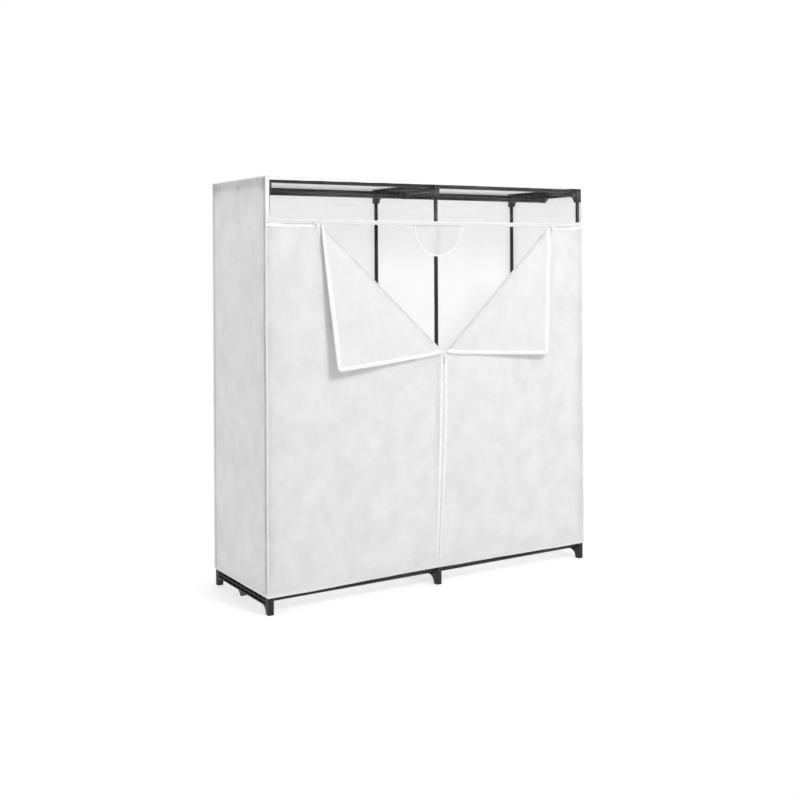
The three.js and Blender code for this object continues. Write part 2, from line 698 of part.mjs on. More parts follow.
// Body of a zip slider, running along Z over the teeth at the origin, with its face towards -Y
function sliderBody() {
  const foot = -SEAM_GAP;
  const channelHalf = SEAM_GAP + CHAIN_HALF_WIDTH + SEAM_GAP;
  const channelDepth = CHAIN_PROUD + SEAM_GAP;
  const front = -channelDepth - SLIDER_PLATE;
  const outline = new THREE.Shape([
    new THREE.Vector2(-SLIDER_NOSE_WIDTH / 2, -SLIDER_LENGTH / 2),
    new THREE.Vector2(SLIDER_NOSE_WIDTH / 2, -SLIDER_LENGTH / 2),
    new THREE.Vector2(SLIDER_WIDTH / 2, SLIDER_LENGTH / 4),
    new THREE.Vector2(SLIDER_WIDTH / 2, SLIDER_LENGTH / 2),
    new THREE.Vector2(-SLIDER_WIDTH / 2, SLIDER_LENGTH / 2),
    new THREE.Vector2(-SLIDER_WIDTH / 2, SLIDER_LENGTH / 4),
  ]);
  const block = toSolid(extrudeToFront(outline, foot, foot - front, 1));
  const channel = toSolid(
    boxBetween(
      [-channelHalf, -channelDepth, -SLIDER_LENGTH],
      [channelHalf, CUT_OVERRUN, SLIDER_LENGTH],
    ),
  );
  return { body: block.subtract(channel), front };
}

// Two ears and a cross pin on a slider's face, for a pull that lifts off the cloth
function earedSlider() {
  const { body, front } = sliderBody();
  const pinY = front - PULL_EYE_RADIUS - SEAT_GAP;
  const earInside = PULL_WIDTH / 2 + SEAT_GAP;
  const parts = [body];
  for (const side of [-1, 1]) {
    const ends = [side * earInside, side * (earInside + EAR_THICKNESS)];
    const ear = boxBetween(
      [Math.min(...ends), front - EAR_PROUD, -EAR_HEIGHT / 2],
      [Math.max(...ends), front + SLIDER_PLATE / 2, EAR_HEIGHT / 2],
    );
    parts.push(toSolid(ear));
  }
  const pinLength = 2 * earInside + EAR_THICKNESS;
  const pin = roundBar(PIN_RADIUS, pinLength, PIN_SIDES).rotateY(Math.PI / 2).translate(-pinLength / 2, pinY, 0);
  parts.push(toSolid(pin));
  return { geometry: toGeometry(joinAll(parts)), pinY };
}

// A post with a head on a slider's face, for a pull that swings across the cloth
function postedSlider() {
  const { body, front } = sliderBody();
  const headY = front - PIN_PROUD;
  const stem = roundBar(PIN_RADIUS, PIN_PROUD + SLIDER_PLATE / 2, PIN_SIDES)
    .rotateX(Math.PI / 2)
    .translate(0, front + SLIDER_PLATE / 2, 0);
  const head = roundBar(POST_HEAD_RADIUS, POST_HEAD_THICKNESS, PIN_SIDES).rotateX(Math.PI / 2).translate(0, headY, 0);
  const pullY = (front + headY) / 2;
  return { geometry: toGeometry(joinAll([body, toSolid(stem), toSolid(head)])), pullY };
}

// A pull with its eye at the origin, hanging down; the eye's bore runs along X or along Y
function pullWithEye(alongX) {
  const blade = toSolid(
    boxBetween(
      [-PULL_WIDTH / 2, -PULL_THICKNESS / 2, -PULL_LENGTH],
      [PULL_WIDTH / 2, PULL_THICKNESS / 2, 0],
    ),
  );
  const eyeLength = alongX ? PULL_WIDTH : PULL_THICKNESS;
  const bore = PIN_RADIUS + FIT_CLEARANCE;
  const place = (geometry, length) => {
    const turned = alongX ? geometry.rotateY(Math.PI / 2) : geometry.rotateX(Math.PI / 2);
    return alongX ? turned.translate(-length / 2, 0, 0) : turned.translate(0, length / 2, 0);
  };
  const eye = toSolid(place(roundBar(PULL_EYE_RADIUS, eyeLength, PIN_SIDES), eyeLength));
  const holeLength = eyeLength + 2 * CUT_OVERRUN;
  const hole = toSolid(place(roundBar(bore, holeLength, PIN_SIDES), holeLength));
  return toGeometry(blade.add(eye).subtract(hole));
}

function makeSliders() {
  const group = new THREE.Group();
  const eared = earedSlider();
  const centreZ = FOLD_FOOT_HEIGHT - CENTRE_SLIDER_DROP;
  const leanAngle = Math.atan2(ZIP_LEAN, FOLD_FOOT_HEIGHT - ZIP_FOOT_HEIGHT);
  const centre = namedMesh('centre_slider', eared.geometry, zipMetal());
  centre.position.set(zipXAt(centreZ), FRONT_FACE, centreZ);
  centre.rotation.y = leanAngle;
  const centrePull = namedMesh('centre_pull', pullWithEye(true), zipMetal());
  centrePull.position.set(zipXAt(centreZ), FRONT_FACE + eared.pinY, centreZ);
  centrePull.rotation.y = leanAngle;
  group.add(centre, centrePull);
  for (const [name, side] of [['left', -1], ['right', 1]]) {
    const posted = postedSlider();
    const x = foldOf(side).apex.x + side * TOP_SLIDER_SETBACK;
    const slider = namedMesh(`${name}_slider`, posted.geometry, zipMetal());
    slider.rotation.y = (-side * Math.PI) / 2;
    slider.position.set(x, FRONT_FACE, TOP_ZIP_HEIGHT);
    const pull = namedMesh(`${name}_pull`, pullWithEye(false), zipMetal());
    pull.position.set(x, FRONT_FACE + posted.pullY, TOP_ZIP_HEIGHT);
    group.add(slider, pull);
  }
  return group;
}

// The whole wardrobe, set back so that its turned-out corners leave the origin under its middle
const wardrobe = new THREE.Group();
wardrobe.position.y = COVER_SETBACK;
wardrobe.add(
  makeBrackets(),
  makePosts(),
  makeRails(),
  makeTrim(),
  makePanels(),
  makeWindow(),
  makeDoors(),
  makeGuard(),
  makeSliders(),
);

export default wardrobe;
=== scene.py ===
"""Looks of a portable fabric wardrobe, built in Blender round its packed tube frame and cloth cover.

Metres. +Z is up, +X is to the right seen from the front, and the front faces -Y.
"""

import json
import logging
import math
from dataclasses import dataclass, field
from enum import Enum
from typing import Callable, Iterable, Sequence

import bmesh
import bpy
import numpy as np
from mathutils import Matrix, Vector, noise

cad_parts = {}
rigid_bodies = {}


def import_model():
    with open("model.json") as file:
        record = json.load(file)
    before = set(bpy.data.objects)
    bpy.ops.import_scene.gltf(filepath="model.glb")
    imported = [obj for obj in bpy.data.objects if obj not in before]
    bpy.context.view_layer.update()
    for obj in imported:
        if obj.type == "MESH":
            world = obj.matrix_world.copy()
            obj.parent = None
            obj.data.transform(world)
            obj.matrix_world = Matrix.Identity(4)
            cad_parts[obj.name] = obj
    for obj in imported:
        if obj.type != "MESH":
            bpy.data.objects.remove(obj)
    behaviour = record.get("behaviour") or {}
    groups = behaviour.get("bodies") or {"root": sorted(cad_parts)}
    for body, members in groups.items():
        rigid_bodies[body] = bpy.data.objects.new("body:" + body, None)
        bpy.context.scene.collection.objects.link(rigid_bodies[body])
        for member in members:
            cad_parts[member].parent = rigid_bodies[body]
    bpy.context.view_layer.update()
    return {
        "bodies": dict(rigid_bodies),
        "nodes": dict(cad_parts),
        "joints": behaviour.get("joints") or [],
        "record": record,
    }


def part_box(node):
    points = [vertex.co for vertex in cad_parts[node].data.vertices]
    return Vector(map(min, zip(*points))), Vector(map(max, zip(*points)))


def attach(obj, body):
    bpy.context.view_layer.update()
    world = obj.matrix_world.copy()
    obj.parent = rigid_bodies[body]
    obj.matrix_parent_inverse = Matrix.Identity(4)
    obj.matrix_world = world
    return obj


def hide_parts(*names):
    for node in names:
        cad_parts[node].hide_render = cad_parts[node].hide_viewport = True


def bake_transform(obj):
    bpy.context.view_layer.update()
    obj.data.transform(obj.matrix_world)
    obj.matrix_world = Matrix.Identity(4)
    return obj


LOG = logging.getLogger("wardrobe")
ROOT = "frame_and_cover"

Pair = tuple[float, float]
Triple = tuple[float, float, float]
Face = tuple[int, ...]
Path = list[tuple[Vector, Vector]]
Material = bpy.types.Material
Object = bpy.types.Object
Node = bpy.types.Node
Socket = bpy.types.NodeSocket
Tree = bpy.types.NodeTree

FRONT = Vector((0, -1, 0))
WHITE = (1.0, 1.0, 1.0)
ROWS = (("front", -1), ("back", 1))
CLOTH = 0.0008
SEWN_DEGREES = 60
PIPED_DEGREES = 70
WAVE_BANDS = 6.3


class Side(Enum):
    """A side of the wardrobe, seen from the front."""

    LEFT = -1
    RIGHT = 1

    @property
    def word(self) -> str:
        """The side's name, as the nodes and bodies are named."""
        return self.name.lower()


# Small tools


def smoothstep(value: float, low: float, high: float) -> float:
    """A smooth rise from 0 at low to 1 at high."""
    share = min(max((value - low) / (high - low), 0.0), 1.0)
    return share * share * (3 - 2 * share)


def waver(size: float, x: float, y: float, z: float) -> float:
    """Smooth noise at a place, up to about a size either way."""
    return size * noise.noise(Vector((x, y, z)))


def grey(value: float) -> Triple:
    """A neutral colour."""
    return (value, value, value)


def linked(name: str, data: bpy.types.ID) -> Object:
    """Makes an object and links it to the scene.

    Args:
        name: its name.
        data: the mesh, lamp or camera that it shows.

    Returns:
        The object.
    """
    made = bpy.data.objects.new(name, data)
    bpy.context.scene.collection.objects.link(made)
    return made


def finished_mesh(carrier: Object, name: str) -> bpy.types.Mesh:
    """The plain mesh that an object's modifiers leave.

    Args:
        carrier: the object with the modifiers.
        name: the new mesh's name.

    Returns:
        The mesh.
    """
    made = bpy.data.meshes.new_from_object(carrier.evaluated_get(bpy.context.evaluated_depsgraph_get()))
    made.name = name
    return made


def make_object(name: str, verts: Iterable, faces: Sequence[Face], sharp_degrees: float = 40) -> Object:
    """Makes a mesh object at the origin, with merged corners and faces that point outwards.

    Args:
        name: the piece's name.
        verts: its points.
        faces: its faces, as point numbers.
        sharp_degrees: edges that turn by more than this stay sharp.

    Returns:
        The new object.
    """
    mesh = bpy.data.meshes.new(name)
    mesh.from_pydata([tuple(v) for v in verts], [], faces)
    work = bmesh.new()
    work.from_mesh(mesh)
    bmesh.ops.remove_doubles(work, verts=work.verts, dist=1e-6)
    bmesh.ops.recalc_face_normals(work, faces=work.faces)
    work.to_mesh(mesh)
    work.free()
    mesh.shade_smooth()
    mesh.set_sharp_from_angle(angle=math.radians(sharp_degrees))
    return linked(name, mesh)


def loft(rings: Sequence[Sequence], closed: bool = False) -> tuple[list, list[Face]]:
    """Joins rings of equal count into one closed skin.

    Args:
        rings: closed rings of points, in order along the path.
        closed: True where the last ring joins the first, and False where both ends get a cap.

    Returns:
        The points and the faces.
    """
    count = len(rings[0])
    faces: list[Face] = []
    for i in range(len(rings) if closed else len(rings) - 1):
        here, there = i * count, ((i + 1) % len(rings)) * count
        for k in range(count):
            n = (k + 1) % count
            faces.append((here + k, here + n, there + n, there + k))
    if not closed:
        last = (len(rings) - 1) * count
        faces.append(tuple(range(count - 1, -1, -1)))
        faces.append(tuple(range(last, last + count)))
    return [p for ring in rings for p in ring], faces


def grid_of(rows: int, cols: int, place: Callable[[int, int], Sequence[float]]) -> list[list]:
    """The points of a grid, row by row, each from its row's and its column's number."""
    return [[place(r, c) for c in range(cols + 1)] for r in range(rows + 1)]


def grid_normals(grid: np.ndarray, towards: np.ndarray) -> np.ndarray:
    """Normals of a grid of points, turned to one side.

    Args:
        grid: rows x columns x 3 points.
        towards: the side that the normals face.

    Returns:
        Unit normals in the grid's shape.
    """
    cross = np.cross(np.gradient(grid, axis=1), np.gradient(grid, axis=0))
    length = np.linalg.norm(cross, axis=2, keepdims=True)
    cross = np.where(length > 1e-12, cross / np.maximum(length, 1e-12), towards)
    facing = np.sign(np.sum(cross * towards, axis=2, keepdims=True))
    return cross * np.where(facing == 0, 1, facing)


def cloth_object(name: str, points: Sequence, facing: Sequence, thickness: float = CLOTH) -> Object:
    """Makes a closed sheet with a thickness from a grid of points.

    Args:
        name: the piece's name.
        points: rows of points in the middle of the cloth.
        facing: the side that it faces, or each point's own normal.
        thickness: how thick it is.

    Returns:
        The new object.
    """
    grid, normals = np.array(points, float), np.array(facing, float)
    if normals.ndim == 1:
        normals = grid_normals(grid, normals)
    rows, cols = grid.shape[:2]
    under = rows * cols
    sides = [(grid + way * normals * thickness / 2).reshape(-1, 3) for way in (1, -1)]
    faces: list[Face] = []
    for a in (r * cols + c for r in range(rows - 1) for c in range(cols - 1)):
        b, d, e = a + 1, a + 1 + cols, a + cols
        faces.append((a, b, d, e))
        faces.append((under + e, under + d, under + b, under + a))
    edge = list(range(cols)) + [r * cols + cols - 1 for r in range(1, rows)]
    edge += [(rows - 1) * cols + c for c in range(cols - 2, -1, -1)]
    edge += [r * cols for r in range(rows - 2, 0, -1)]
    faces += [(there, here, under + here, under + there) for here, there in zip(edge, edge[1:] + edge[:1])]
    return make_object(name, np.vstack(sides).tolist(), faces)


def rounded_copy(source: Object, name: str, width: float) -> Object:
    """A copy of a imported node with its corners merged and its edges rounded.

    Args:
        source: the node.
        name: the piece's name.
        width: how far the rounding reaches.

    Returns:
        The new object.
    """
    mesh = source.data.copy()
    work = bmesh.new()
    work.from_mesh(mesh)
    bmesh.ops.remove_doubles(work, verts=work.verts, dist=1e-5)
    bmesh.ops.dissolve_limit(work, angle_limit=math.radians(1), verts=work.verts, edges=work.edges)
    work.to_mesh(mesh)
    work.free()
    piece = linked(name, mesh)
    bevel = piece.modifiers.new("rounding", "BEVEL")
    bevel.width = width
    bevel.segments = 2
    bevel.limit_method = "ANGLE"
    bevel.angle_limit = math.radians(32)
    made = finished_mesh(piece, name)
    piece.modifiers.clear()
    piece.data = made
    made.shade_smooth()
    made.set_sharp_from_angle(angle=math.radians(50))
    return piece


def dress(piece: Object, finish: Material, slot: str, body: str = ROOT, nodes: Sequence[str] = ()) -> Object:
    """Gives a piece its finish and its body, and hides the nodes that it stands for.

    Args:
        piece: the finished piece.
        finish: its material.
        slot: the record's material slot; not used.
        body: the body that it rides on, or an empty name where it rides on none.
        nodes: the CAD nodes that it replaces.

    Returns:
        The piece.
    """
    piece.data.materials.clear()
    piece.data.materials.append(finish)
    if nodes:
        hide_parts(*nodes)
    if body:
        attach(piece, body)
    LOG.info("%s: %d faces", piece.name, len(piece.data.polygons))
    return piece


# Sizes that several pieces share


@dataclass(frozen=True)
class CoverSizes:
    """Sizes of the cloth cover, which every cloth piece is cut to."""

    half_width: float = 0.762
    half_depth: float = 0.250
    middle_y: float = 0.022
    height: float = 1.626
    cloth: float = CLOTH
    zip_x: float = 0.029
    zip_lean: float = 0.032
    zip_bow: float = 0.006
    top_zip_z: float = 1.452
    zip_foot_z: float = 0.110
    fold_foot_z: float = 0.932
    left_apex_x: float = -0.540
    right_apex_x: float = 0.577
    tape_width: float = 0.013
    binding_height: float = 0.016
    hem_foot_z: float = 0.067
    hem_height: float = 0.012

    @property
    def front_y(self) -> float:
        """Y of the front cloth's outer face."""
        return self.middle_y - self.half_depth

    @property
    def back_y(self) -> float:
        """Y of the back cloth's outer face."""
        return self.middle_y + self.half_depth

    @property
    def front_mid_y(self) -> float:
        """Y of the middle of the front cloth's thickness."""
        return self.front_y + self.cloth / 2

    @property
    def cloth_foot_z(self) -> float:
        """The foot of the upright cloths, inside the hem."""
        return self.hem_foot_z + self.hem_height - 0.003

    def zip_line_x(self, z: float) -> float:
        """X of the centre zip at a height, where it leans to the left and bows a little."""
        share = max((self.fold_foot_z - z) / (self.fold_foot_z - self.zip_foot_z), 0.0)
        return self.zip_x - self.zip_lean * share + self.zip_bow * math.sin(math.pi * min(share, 1.0))

    def zip_rise(self, x: float) -> float:
        """How far the top zip rises towards the cover's two ends at an X."""
        return 0.003 * smoothstep(-x, 0.70, 0.76) + 0.008 * smoothstep(x, 0.69, 0.765)

    def hem_sag(self, x: float) -> float:
        """How far the hem's foot lies off its usual height at an X."""
        return 0.0055 * smoothstep(x, -0.66, -0.10) - 0.0035 * smoothstep(x, 0.05, 0.75) - 0.002


COVER = CoverSizes()


@dataclass(frozen=True)
class Billow:
    """How far a hanging cloth stands off its flat cut: slow swells and finer creases."""

    swell: float
    swell_size: float
    crease: float
    crease_size: float
    seed: float

    def at(self, u: float, v: float) -> float:
        """How far the cloth stands out at a place.

        Args:
            u: place across the cloth.
            v: place along the cloth.

        Returns:
            The distance outwards.
        """
        slow = noise.fractal(Vector((u / self.swell_size, v / self.swell_size, self.seed)), 1.0, 2.0, 2)
        size = self.crease_size
        ridge = 1 - 2 * abs(waver(1, u / size, 0.4 * v / size, self.seed + 7))
        level = 1 - 2 * abs(waver(1, 0.5 * u / size, v / size, self.seed + 17))
        return self.swell * (0.45 + 0.8 * slow) + self.crease * 0.5 * (ridge + level)


# Node trees and finishes


class Graph:
    """Builds the nodes of one tree."""

    def __init__(self, tree: Tree) -> None:
        """Takes a tree and empties it."""
        self.tree = tree
        tree.nodes.clear()

    def feed(self, socket: Socket, value: object) -> None:
        """Links an input, or sets it.

        Args:
            socket: the input.
            value: a node, whose first output is linked, or a socket or a plain value.
        """
        if isinstance(value, bpy.types.Node):
            value = value.outputs[0]
        if isinstance(value, bpy.types.NodeSocket):
            self.tree.links.new(value, socket)
        else:
            socket.default_value = value

    def add(self, kind: str, *inputs: object, **named: object) -> Node:
        """Adds a node with its settings and inputs.

        Args:
            kind: the node's type.
            inputs: what its first inputs get, or None where one stays as it is.
            named: a setting, in small letters, or an input by its name with _ for a space.

        Returns:
            The node.
        """
        node = self.tree.nodes.new(kind)
        for key, value in named.items():
            if key[0].islower():
                setattr(node, key, value)
            else:
                self.feed(node.inputs[key.replace("_", " ")], value)
        for socket, value in zip(node.inputs, inputs):
            if value is not None:
                self.feed(socket, value)
        return node

    def sum(self, operation: str, *inputs: object) -> Node:
        """Adds a node that works out one number."""
        return self.add("ShaderNodeMath", *inputs, operation=operation)

    def vector(self, operation: str, *inputs: object, **named: object) -> Node:
        """Adds a node that works with vectors."""
        return self.add("ShaderNodeVectorMath", *inputs, operation=operation, **named)


class Paint(Graph):
    """Builds one material's node tree, on Object coordinates."""

    def __init__(self, name: str) -> None:
        """Starts an empty material.

        Args:
            name: the material's name.
        """
        self.material = bpy.data.materials.new(name)
        self.material.use_nodes = True
        super().__init__(self.material.node_tree)
        self.coords = self.add("ShaderNodeTexCoord").outputs["Object"]

    def place(self, scale: Triple = (1, 1, 1)) -> Node:
        """Object coordinates, scaled on each axis."""
        return self.add("ShaderNodeMapping", self.coords, Scale=scale)

    def grain(self, scale: float, detail: float, stretch: Triple = (1, 1, 1), roughness: float = 0.5) -> Node:
        """A noise pattern.

        Args:
            scale: spots per metre.
            detail: finer layers.
            stretch: scale on each axis.
            roughness: strength of the finer layers.

        Returns:
            The node, whose first output is the factor.
        """
        where = self.place(stretch)
        return self.add("ShaderNodeTexNoise", Vector=where, Scale=scale, Detail=detail, Roughness=roughness)

    def between(self, factor: object, span: Pair, at_low: float = 0, at_high: float = 1) -> Node:
        """Maps a factor's span to the one from at_low to at_high, clamped."""
        return self.add("ShaderNodeMapRange", factor, *span, at_low, at_high)

    def mix(self, factor: object, first: object, second: object, way: str = "MIX") -> Socket:
        """Two colours mixed.

        Args:
            factor: 0 gives the first colour and 1 the second.
            first: a colour or its socket.
            second: a colour or its socket.
            way: the blend type.

        Returns:
            The colour socket.
        """
        node = self.add("ShaderNodeMix", factor, data_type="RGBA", blend_type=way)
        for socket, colour in zip(node.inputs[6:8], (first, second)):
            self.feed(socket, (*colour, 1) if isinstance(colour, tuple) else colour)
        return node.outputs[2]

    def bump(self, height: object, distance: float, strength: float, under: object = None) -> Node:
        """A bump from a height.

        Args:
            height: the height's node or socket.
            distance: its reach in metres.
            strength: from 0 to 1.
            under: a normal that it is laid over.

        Returns:
            The node.
        """
        node = self.add("ShaderNodeBump", Height=height, Distance=distance, Strength=strength)
        if under is not None:
            self.feed(node.inputs["Normal"], under)
        return node

    def skin(self, colour: Socket, rough: Node, normal: Node, **more: object) -> Node:
        """The main surface shader."""
        return self.add("ShaderNodeBsdfPrincipled", Base_Color=colour, Roughness=rough, Normal=normal, **more)

    def done(self, shader: Node) -> Material:
        """Ends the tree in a shader and returns its material."""
        self.add("ShaderNodeOutputMaterial", shader)
        return self.material


@dataclass(frozen=True)
class Shade:
    """A soft line of painted shade on a cloth, where a tube touches its back or where it is folded over."""

    across: Triple
    middle: float
    reach: float
    depth: float
    soft: float = 0.004

    def tone(self, paint: Paint) -> Socket:
        """The painted shade that the cloth's colour is multiplied by.

        Args:
            paint: the material that it is part of.

        Returns:
            The colour socket.
        """
        dot = paint.vector("DOT_PRODUCT", paint.coords, self.across).outputs["Value"]
        off = paint.sum("ABSOLUTE", paint.sum("SUBTRACT", dot, self.middle))
        band = paint.between(off, (self.reach - self.soft, self.reach + self.soft), 1, 0)
        patchy = paint.between(paint.grain(24, 3), (0.3, 0.6), 0.45, 1)
        return paint.mix(paint.sum("MULTIPLY", band, patchy), WHITE, grey(1 - self.depth))


@dataclass(frozen=True)
class Spot:
    """A soft spot of painted shade on a cloth, where it is gathered or a corner of the frame touches its back.
    """

    centre: Triple
    reach: float
    depth: float

    def tone(self, paint: Paint) -> Socket:
        """The painted shade that the cloth's colour is multiplied by.

        Args:
            paint: the material that it is part of.

        Returns:
            The colour socket.
        """
        off = paint.vector("DISTANCE", paint.coords, self.centre).outputs["Value"]
        near = paint.between(off, (0.35 * self.reach, self.reach), 1, 0)
        return paint.mix(near, WHITE, grey(1 - self.depth))


@dataclass(frozen=True)
class ClothFinish:
    """Thin white non-woven cloth: soft mottling, faint folds, bonded dots, and light that comes through."""

    name: str = "non_woven_cloth"
    light: Triple = grey(0.965)
    dark: Triple = grey(0.905)
    mottle_scale: float = 14.0
    dots_per_metre: float = 620
    through: float = 0.40
    shades: tuple[Shade | Spot, ...] = ()

    def material(self) -> Material:
        """Builds the material.

        Returns:
            The material.
        """
        paint = Paint(self.name)
        cloud = paint.grain(self.mottle_scale, 7, (1, 1, 0.75), 0.66)
        fibre = paint.grain(420, 3, (1, 1, 0.25))
        base = paint.mix(paint.between(cloud, (0.38, 0.62)), self.dark, self.light)
        # Painted shade: each shade line or spot darkens the colour.
        for shade in self.shades:
            base = paint.mix(1, base, shade.tone(paint), "MULTIPLY")
        flecks = paint.mix(paint.between(fibre, (0.3, 0.7)), grey(0.97), WHITE)
        colour = paint.mix(1, base, flecks, "MULTIPLY")
        crease = paint.bump(paint.grain(30, 3, (1, 1, 0.14), 0.55), 0.003, 0.35)
        swell = paint.bump(paint.grain(16, 4, (1, 1, 0.45), 0.6), 0.006, 0.40, crease)
        dots = paint.add("ShaderNodeTexVoronoi", Vector=paint.place(), Scale=self.dots_per_metre)
        normal = paint.bump(dots.outputs["Distance"], 0.0002, 0.3, swell)
        rough = paint.between(fibre, (0.3, 0.7), 0.86, 0.95)
        skin = paint.skin(
            colour, rough, normal, Specular_IOR_Level=0.25, Sheen_Weight=0.08, Sheen_Roughness=0.5
        )
        glow = paint.add("ShaderNodeBsdfTranslucent", Color=colour, Normal=normal)
        return paint.done(paint.add("ShaderNodeMixShader", self.through, skin, glow))


@dataclass(frozen=True)
class WovenFinish:
    """White woven tape or binding: fine ribs across it and a soft sheen."""

    name: str = "woven_binding"
    light: Triple = grey(0.95)
    dark: Triple = (0.88, 0.88, 0.885)
    ribs_per_metre: float = 700
    rib_depth: float = 0.00025

    def material(self) -> Material:
        """Builds the material.

        Returns:
            The material.
        """
        paint = Paint(self.name)
        spots = paint.grain(90, 3)
        weave = paint.add(
            "ShaderNodeTexWave", bands_direction="DIAGONAL", Vector=paint.place(),
            Scale=self.ribs_per_metre / WAVE_BANDS, Distortion=0.6,
        ).outputs["Fac"]
        tone = paint.mix(paint.between(spots, (0.35, 0.65)), self.dark, self.light)
        colour = paint.mix(1, tone, paint.mix(weave, grey(0.95), WHITE), "MULTIPLY")
        normal = paint.bump(weave, self.rib_depth, 0.5)
        rough = paint.between(spots, (0.3, 0.7), 0.75, 0.88)
        return paint.done(paint.skin(colour, rough, normal, Sheen_Weight=0.15, Sheen_Roughness=0.4))


@dataclass(frozen=True)
class HardFinish:
    """A plain hard skin with rubbed or worn places: moulded plastic, powder-coated steel or enamel."""

    name: str
    base: Triple
    worn: Triple
    wear: tuple[float, float, Triple]
    worn_span: Pair
    rough: Pair
    bump: Triple
    level: float = 0.5

    def material(self) -> Material:
        """Builds the material.

        Returns:
            The material.
        """
        paint = Paint(self.name)
        wear = paint.grain(*self.wear)
        peel_scale, peel_depth, strength = self.bump
        peel = paint.grain(peel_scale, 2) if peel_scale else wear
        colour = paint.mix(paint.between(wear, self.worn_span), self.base, self.worn)
        rough = paint.between(wear, (0.3, 0.7), *self.rough)
        normal = paint.bump(peel, peel_depth, strength)
        return paint.done(paint.skin(colour, rough, normal, Specular_IOR_Level=self.level))


@dataclass(frozen=True)
class VinylFinish:
    """Clear soft vinyl: nearly invisible, with milky level streaks and a soft shine."""

    name: str = "clear_vinyl"
    clear: float = 0.006
    milky: float = 0.06

    def material(self) -> Material:
        """Builds the material.

        Returns:
            The material.
        """
        paint = Paint(self.name)
        streak = paint.grain(9, 4, (0.35, 1, 3.4), 0.6)
        film = paint.between(streak, (0.48, 0.80), self.clear, self.milky)
        ripple = paint.grain(14, 3, (0.5, 1, 1.6))
        colour = paint.mix(paint.between(ripple, (0.3, 0.7)), (0.88, 0.88, 0.89), grey(0.95))
        rough = paint.between(ripple, (0.3, 0.7), 0.12, 0.26)
        normal = paint.bump(ripple, 0.004, 0.5)
        return paint.done(paint.skin(colour, rough, normal, Alpha=film, Specular_IOR_Level=0.5))


# Painted shadow on the side cloth: dark lines where the posts and the upper bracket's bar stand behind it, and
# spots at the bracket's tab and legs.
FRAME_SHADOWS = (
    Shade((0, 1, 0), COVER.middle_y - 0.2365, 0.006, 0.26),
    Shade((0, 1, 0), COVER.middle_y + 0.2365, 0.006, 0.10),
    Shade((0, 0, 1), 1.607, 0.017, 0.07, 0.006),
    Spot((-0.762, COVER.middle_y, 1.594), 0.026, 0.10),
    Spot((-0.762, COVER.middle_y - 0.225, 1.598), 0.030, 0.12),
    Spot((-0.762, COVER.middle_y + 0.225, 1.600), 0.034, 0.10),
)
# Painted shade over the hem's upper part, so that its rolled foot reads lighter.
HEM_SHADE = (Shade((0, 0, 1), COVER.hem_foot_z + 0.0140, 0.0080, 0.10, 0.0030),)


def made(finish: ClothFinish | WovenFinish | HardFinish | VinylFinish) -> Material:
    """A dataclass field that holds a finish's material."""
    return field(default_factory=finish.material)


@dataclass(frozen=True)
class Finishes:
    """Every finish of the wardrobe, each made once."""

    cloth: Material = made(ClothFinish())
    side_cloth: Material = made(ClothFinish("side_cloth", shades=FRAME_SHADOWS))
    back_cloth: Material = made(ClothFinish("back_cloth", grey(0.965), grey(0.950), 10, through=0.72))
    guard_cloth: Material = made(ClothFinish("guard_cloth", grey(0.93), grey(0.89), 14))
    binding: Material = made(WovenFinish())
    hem: Material = made(ClothFinish("hem_cloth", grey(0.99), grey(0.96), 20, through=0.15, shades=HEM_SHADE))
    band: Material = made(WovenFinish("window_band_weave", grey(0.87), grey(0.82), 500))
    tape: Material = made(WovenFinish("zip_tape_weave", grey(0.97), (0.91, 0.91, 0.915), 1100, 0.0002))
    thread: Material = made(WovenFinish("sewing_thread", grey(0.93), (0.84, 0.84, 0.845), 2200, 0.0001))
    plastic: Material = made(HardFinish(
        "moulded_plastic", (0.014, 0.014, 0.015), (0.034, 0.034, 0.036), (22, 4, (1, 0.3, 1)),
        (0.42, 0.72), (0.42, 0.58), (2600, 0.00012, 0.35), 0.32,
    ))
    steel: Material = made(HardFinish(
        "powder_coated_steel", (0.008, 0.008, 0.0085), (0.020, 0.020, 0.021), (30, 3, (1, 1, 0.15)),
        (0.5, 0.75), (0.28, 0.42), (900, 0.00015, 0.25), 0.35,
    ))
    enamel: Material = made(HardFinish(
        "white_enamel", (0.68, 0.68, 0.69), grey(0.86), (260, 3, (1, 1, 1)),
        (0.32, 0.5), (0.45, 0.3), (0, 0.0001, 0.3),
    ))
    teeth: Material = made(HardFinish(
        "nylon_teeth", (0.62, 0.62, 0.63), grey(0.80), (260, 3, (1, 1, 1)),
        (0.32, 0.5), (0.60, 0.45), (0, 0.0001, 0.3),
    ))
    vinyl: Material = made(VinylFinish())


# Rows of small pieces along a path


class RowKind(Enum):
    """What a row along a path is made of."""

    TOOTH = "tooth"
    STITCH = "stitch"
    RIB = "rib"


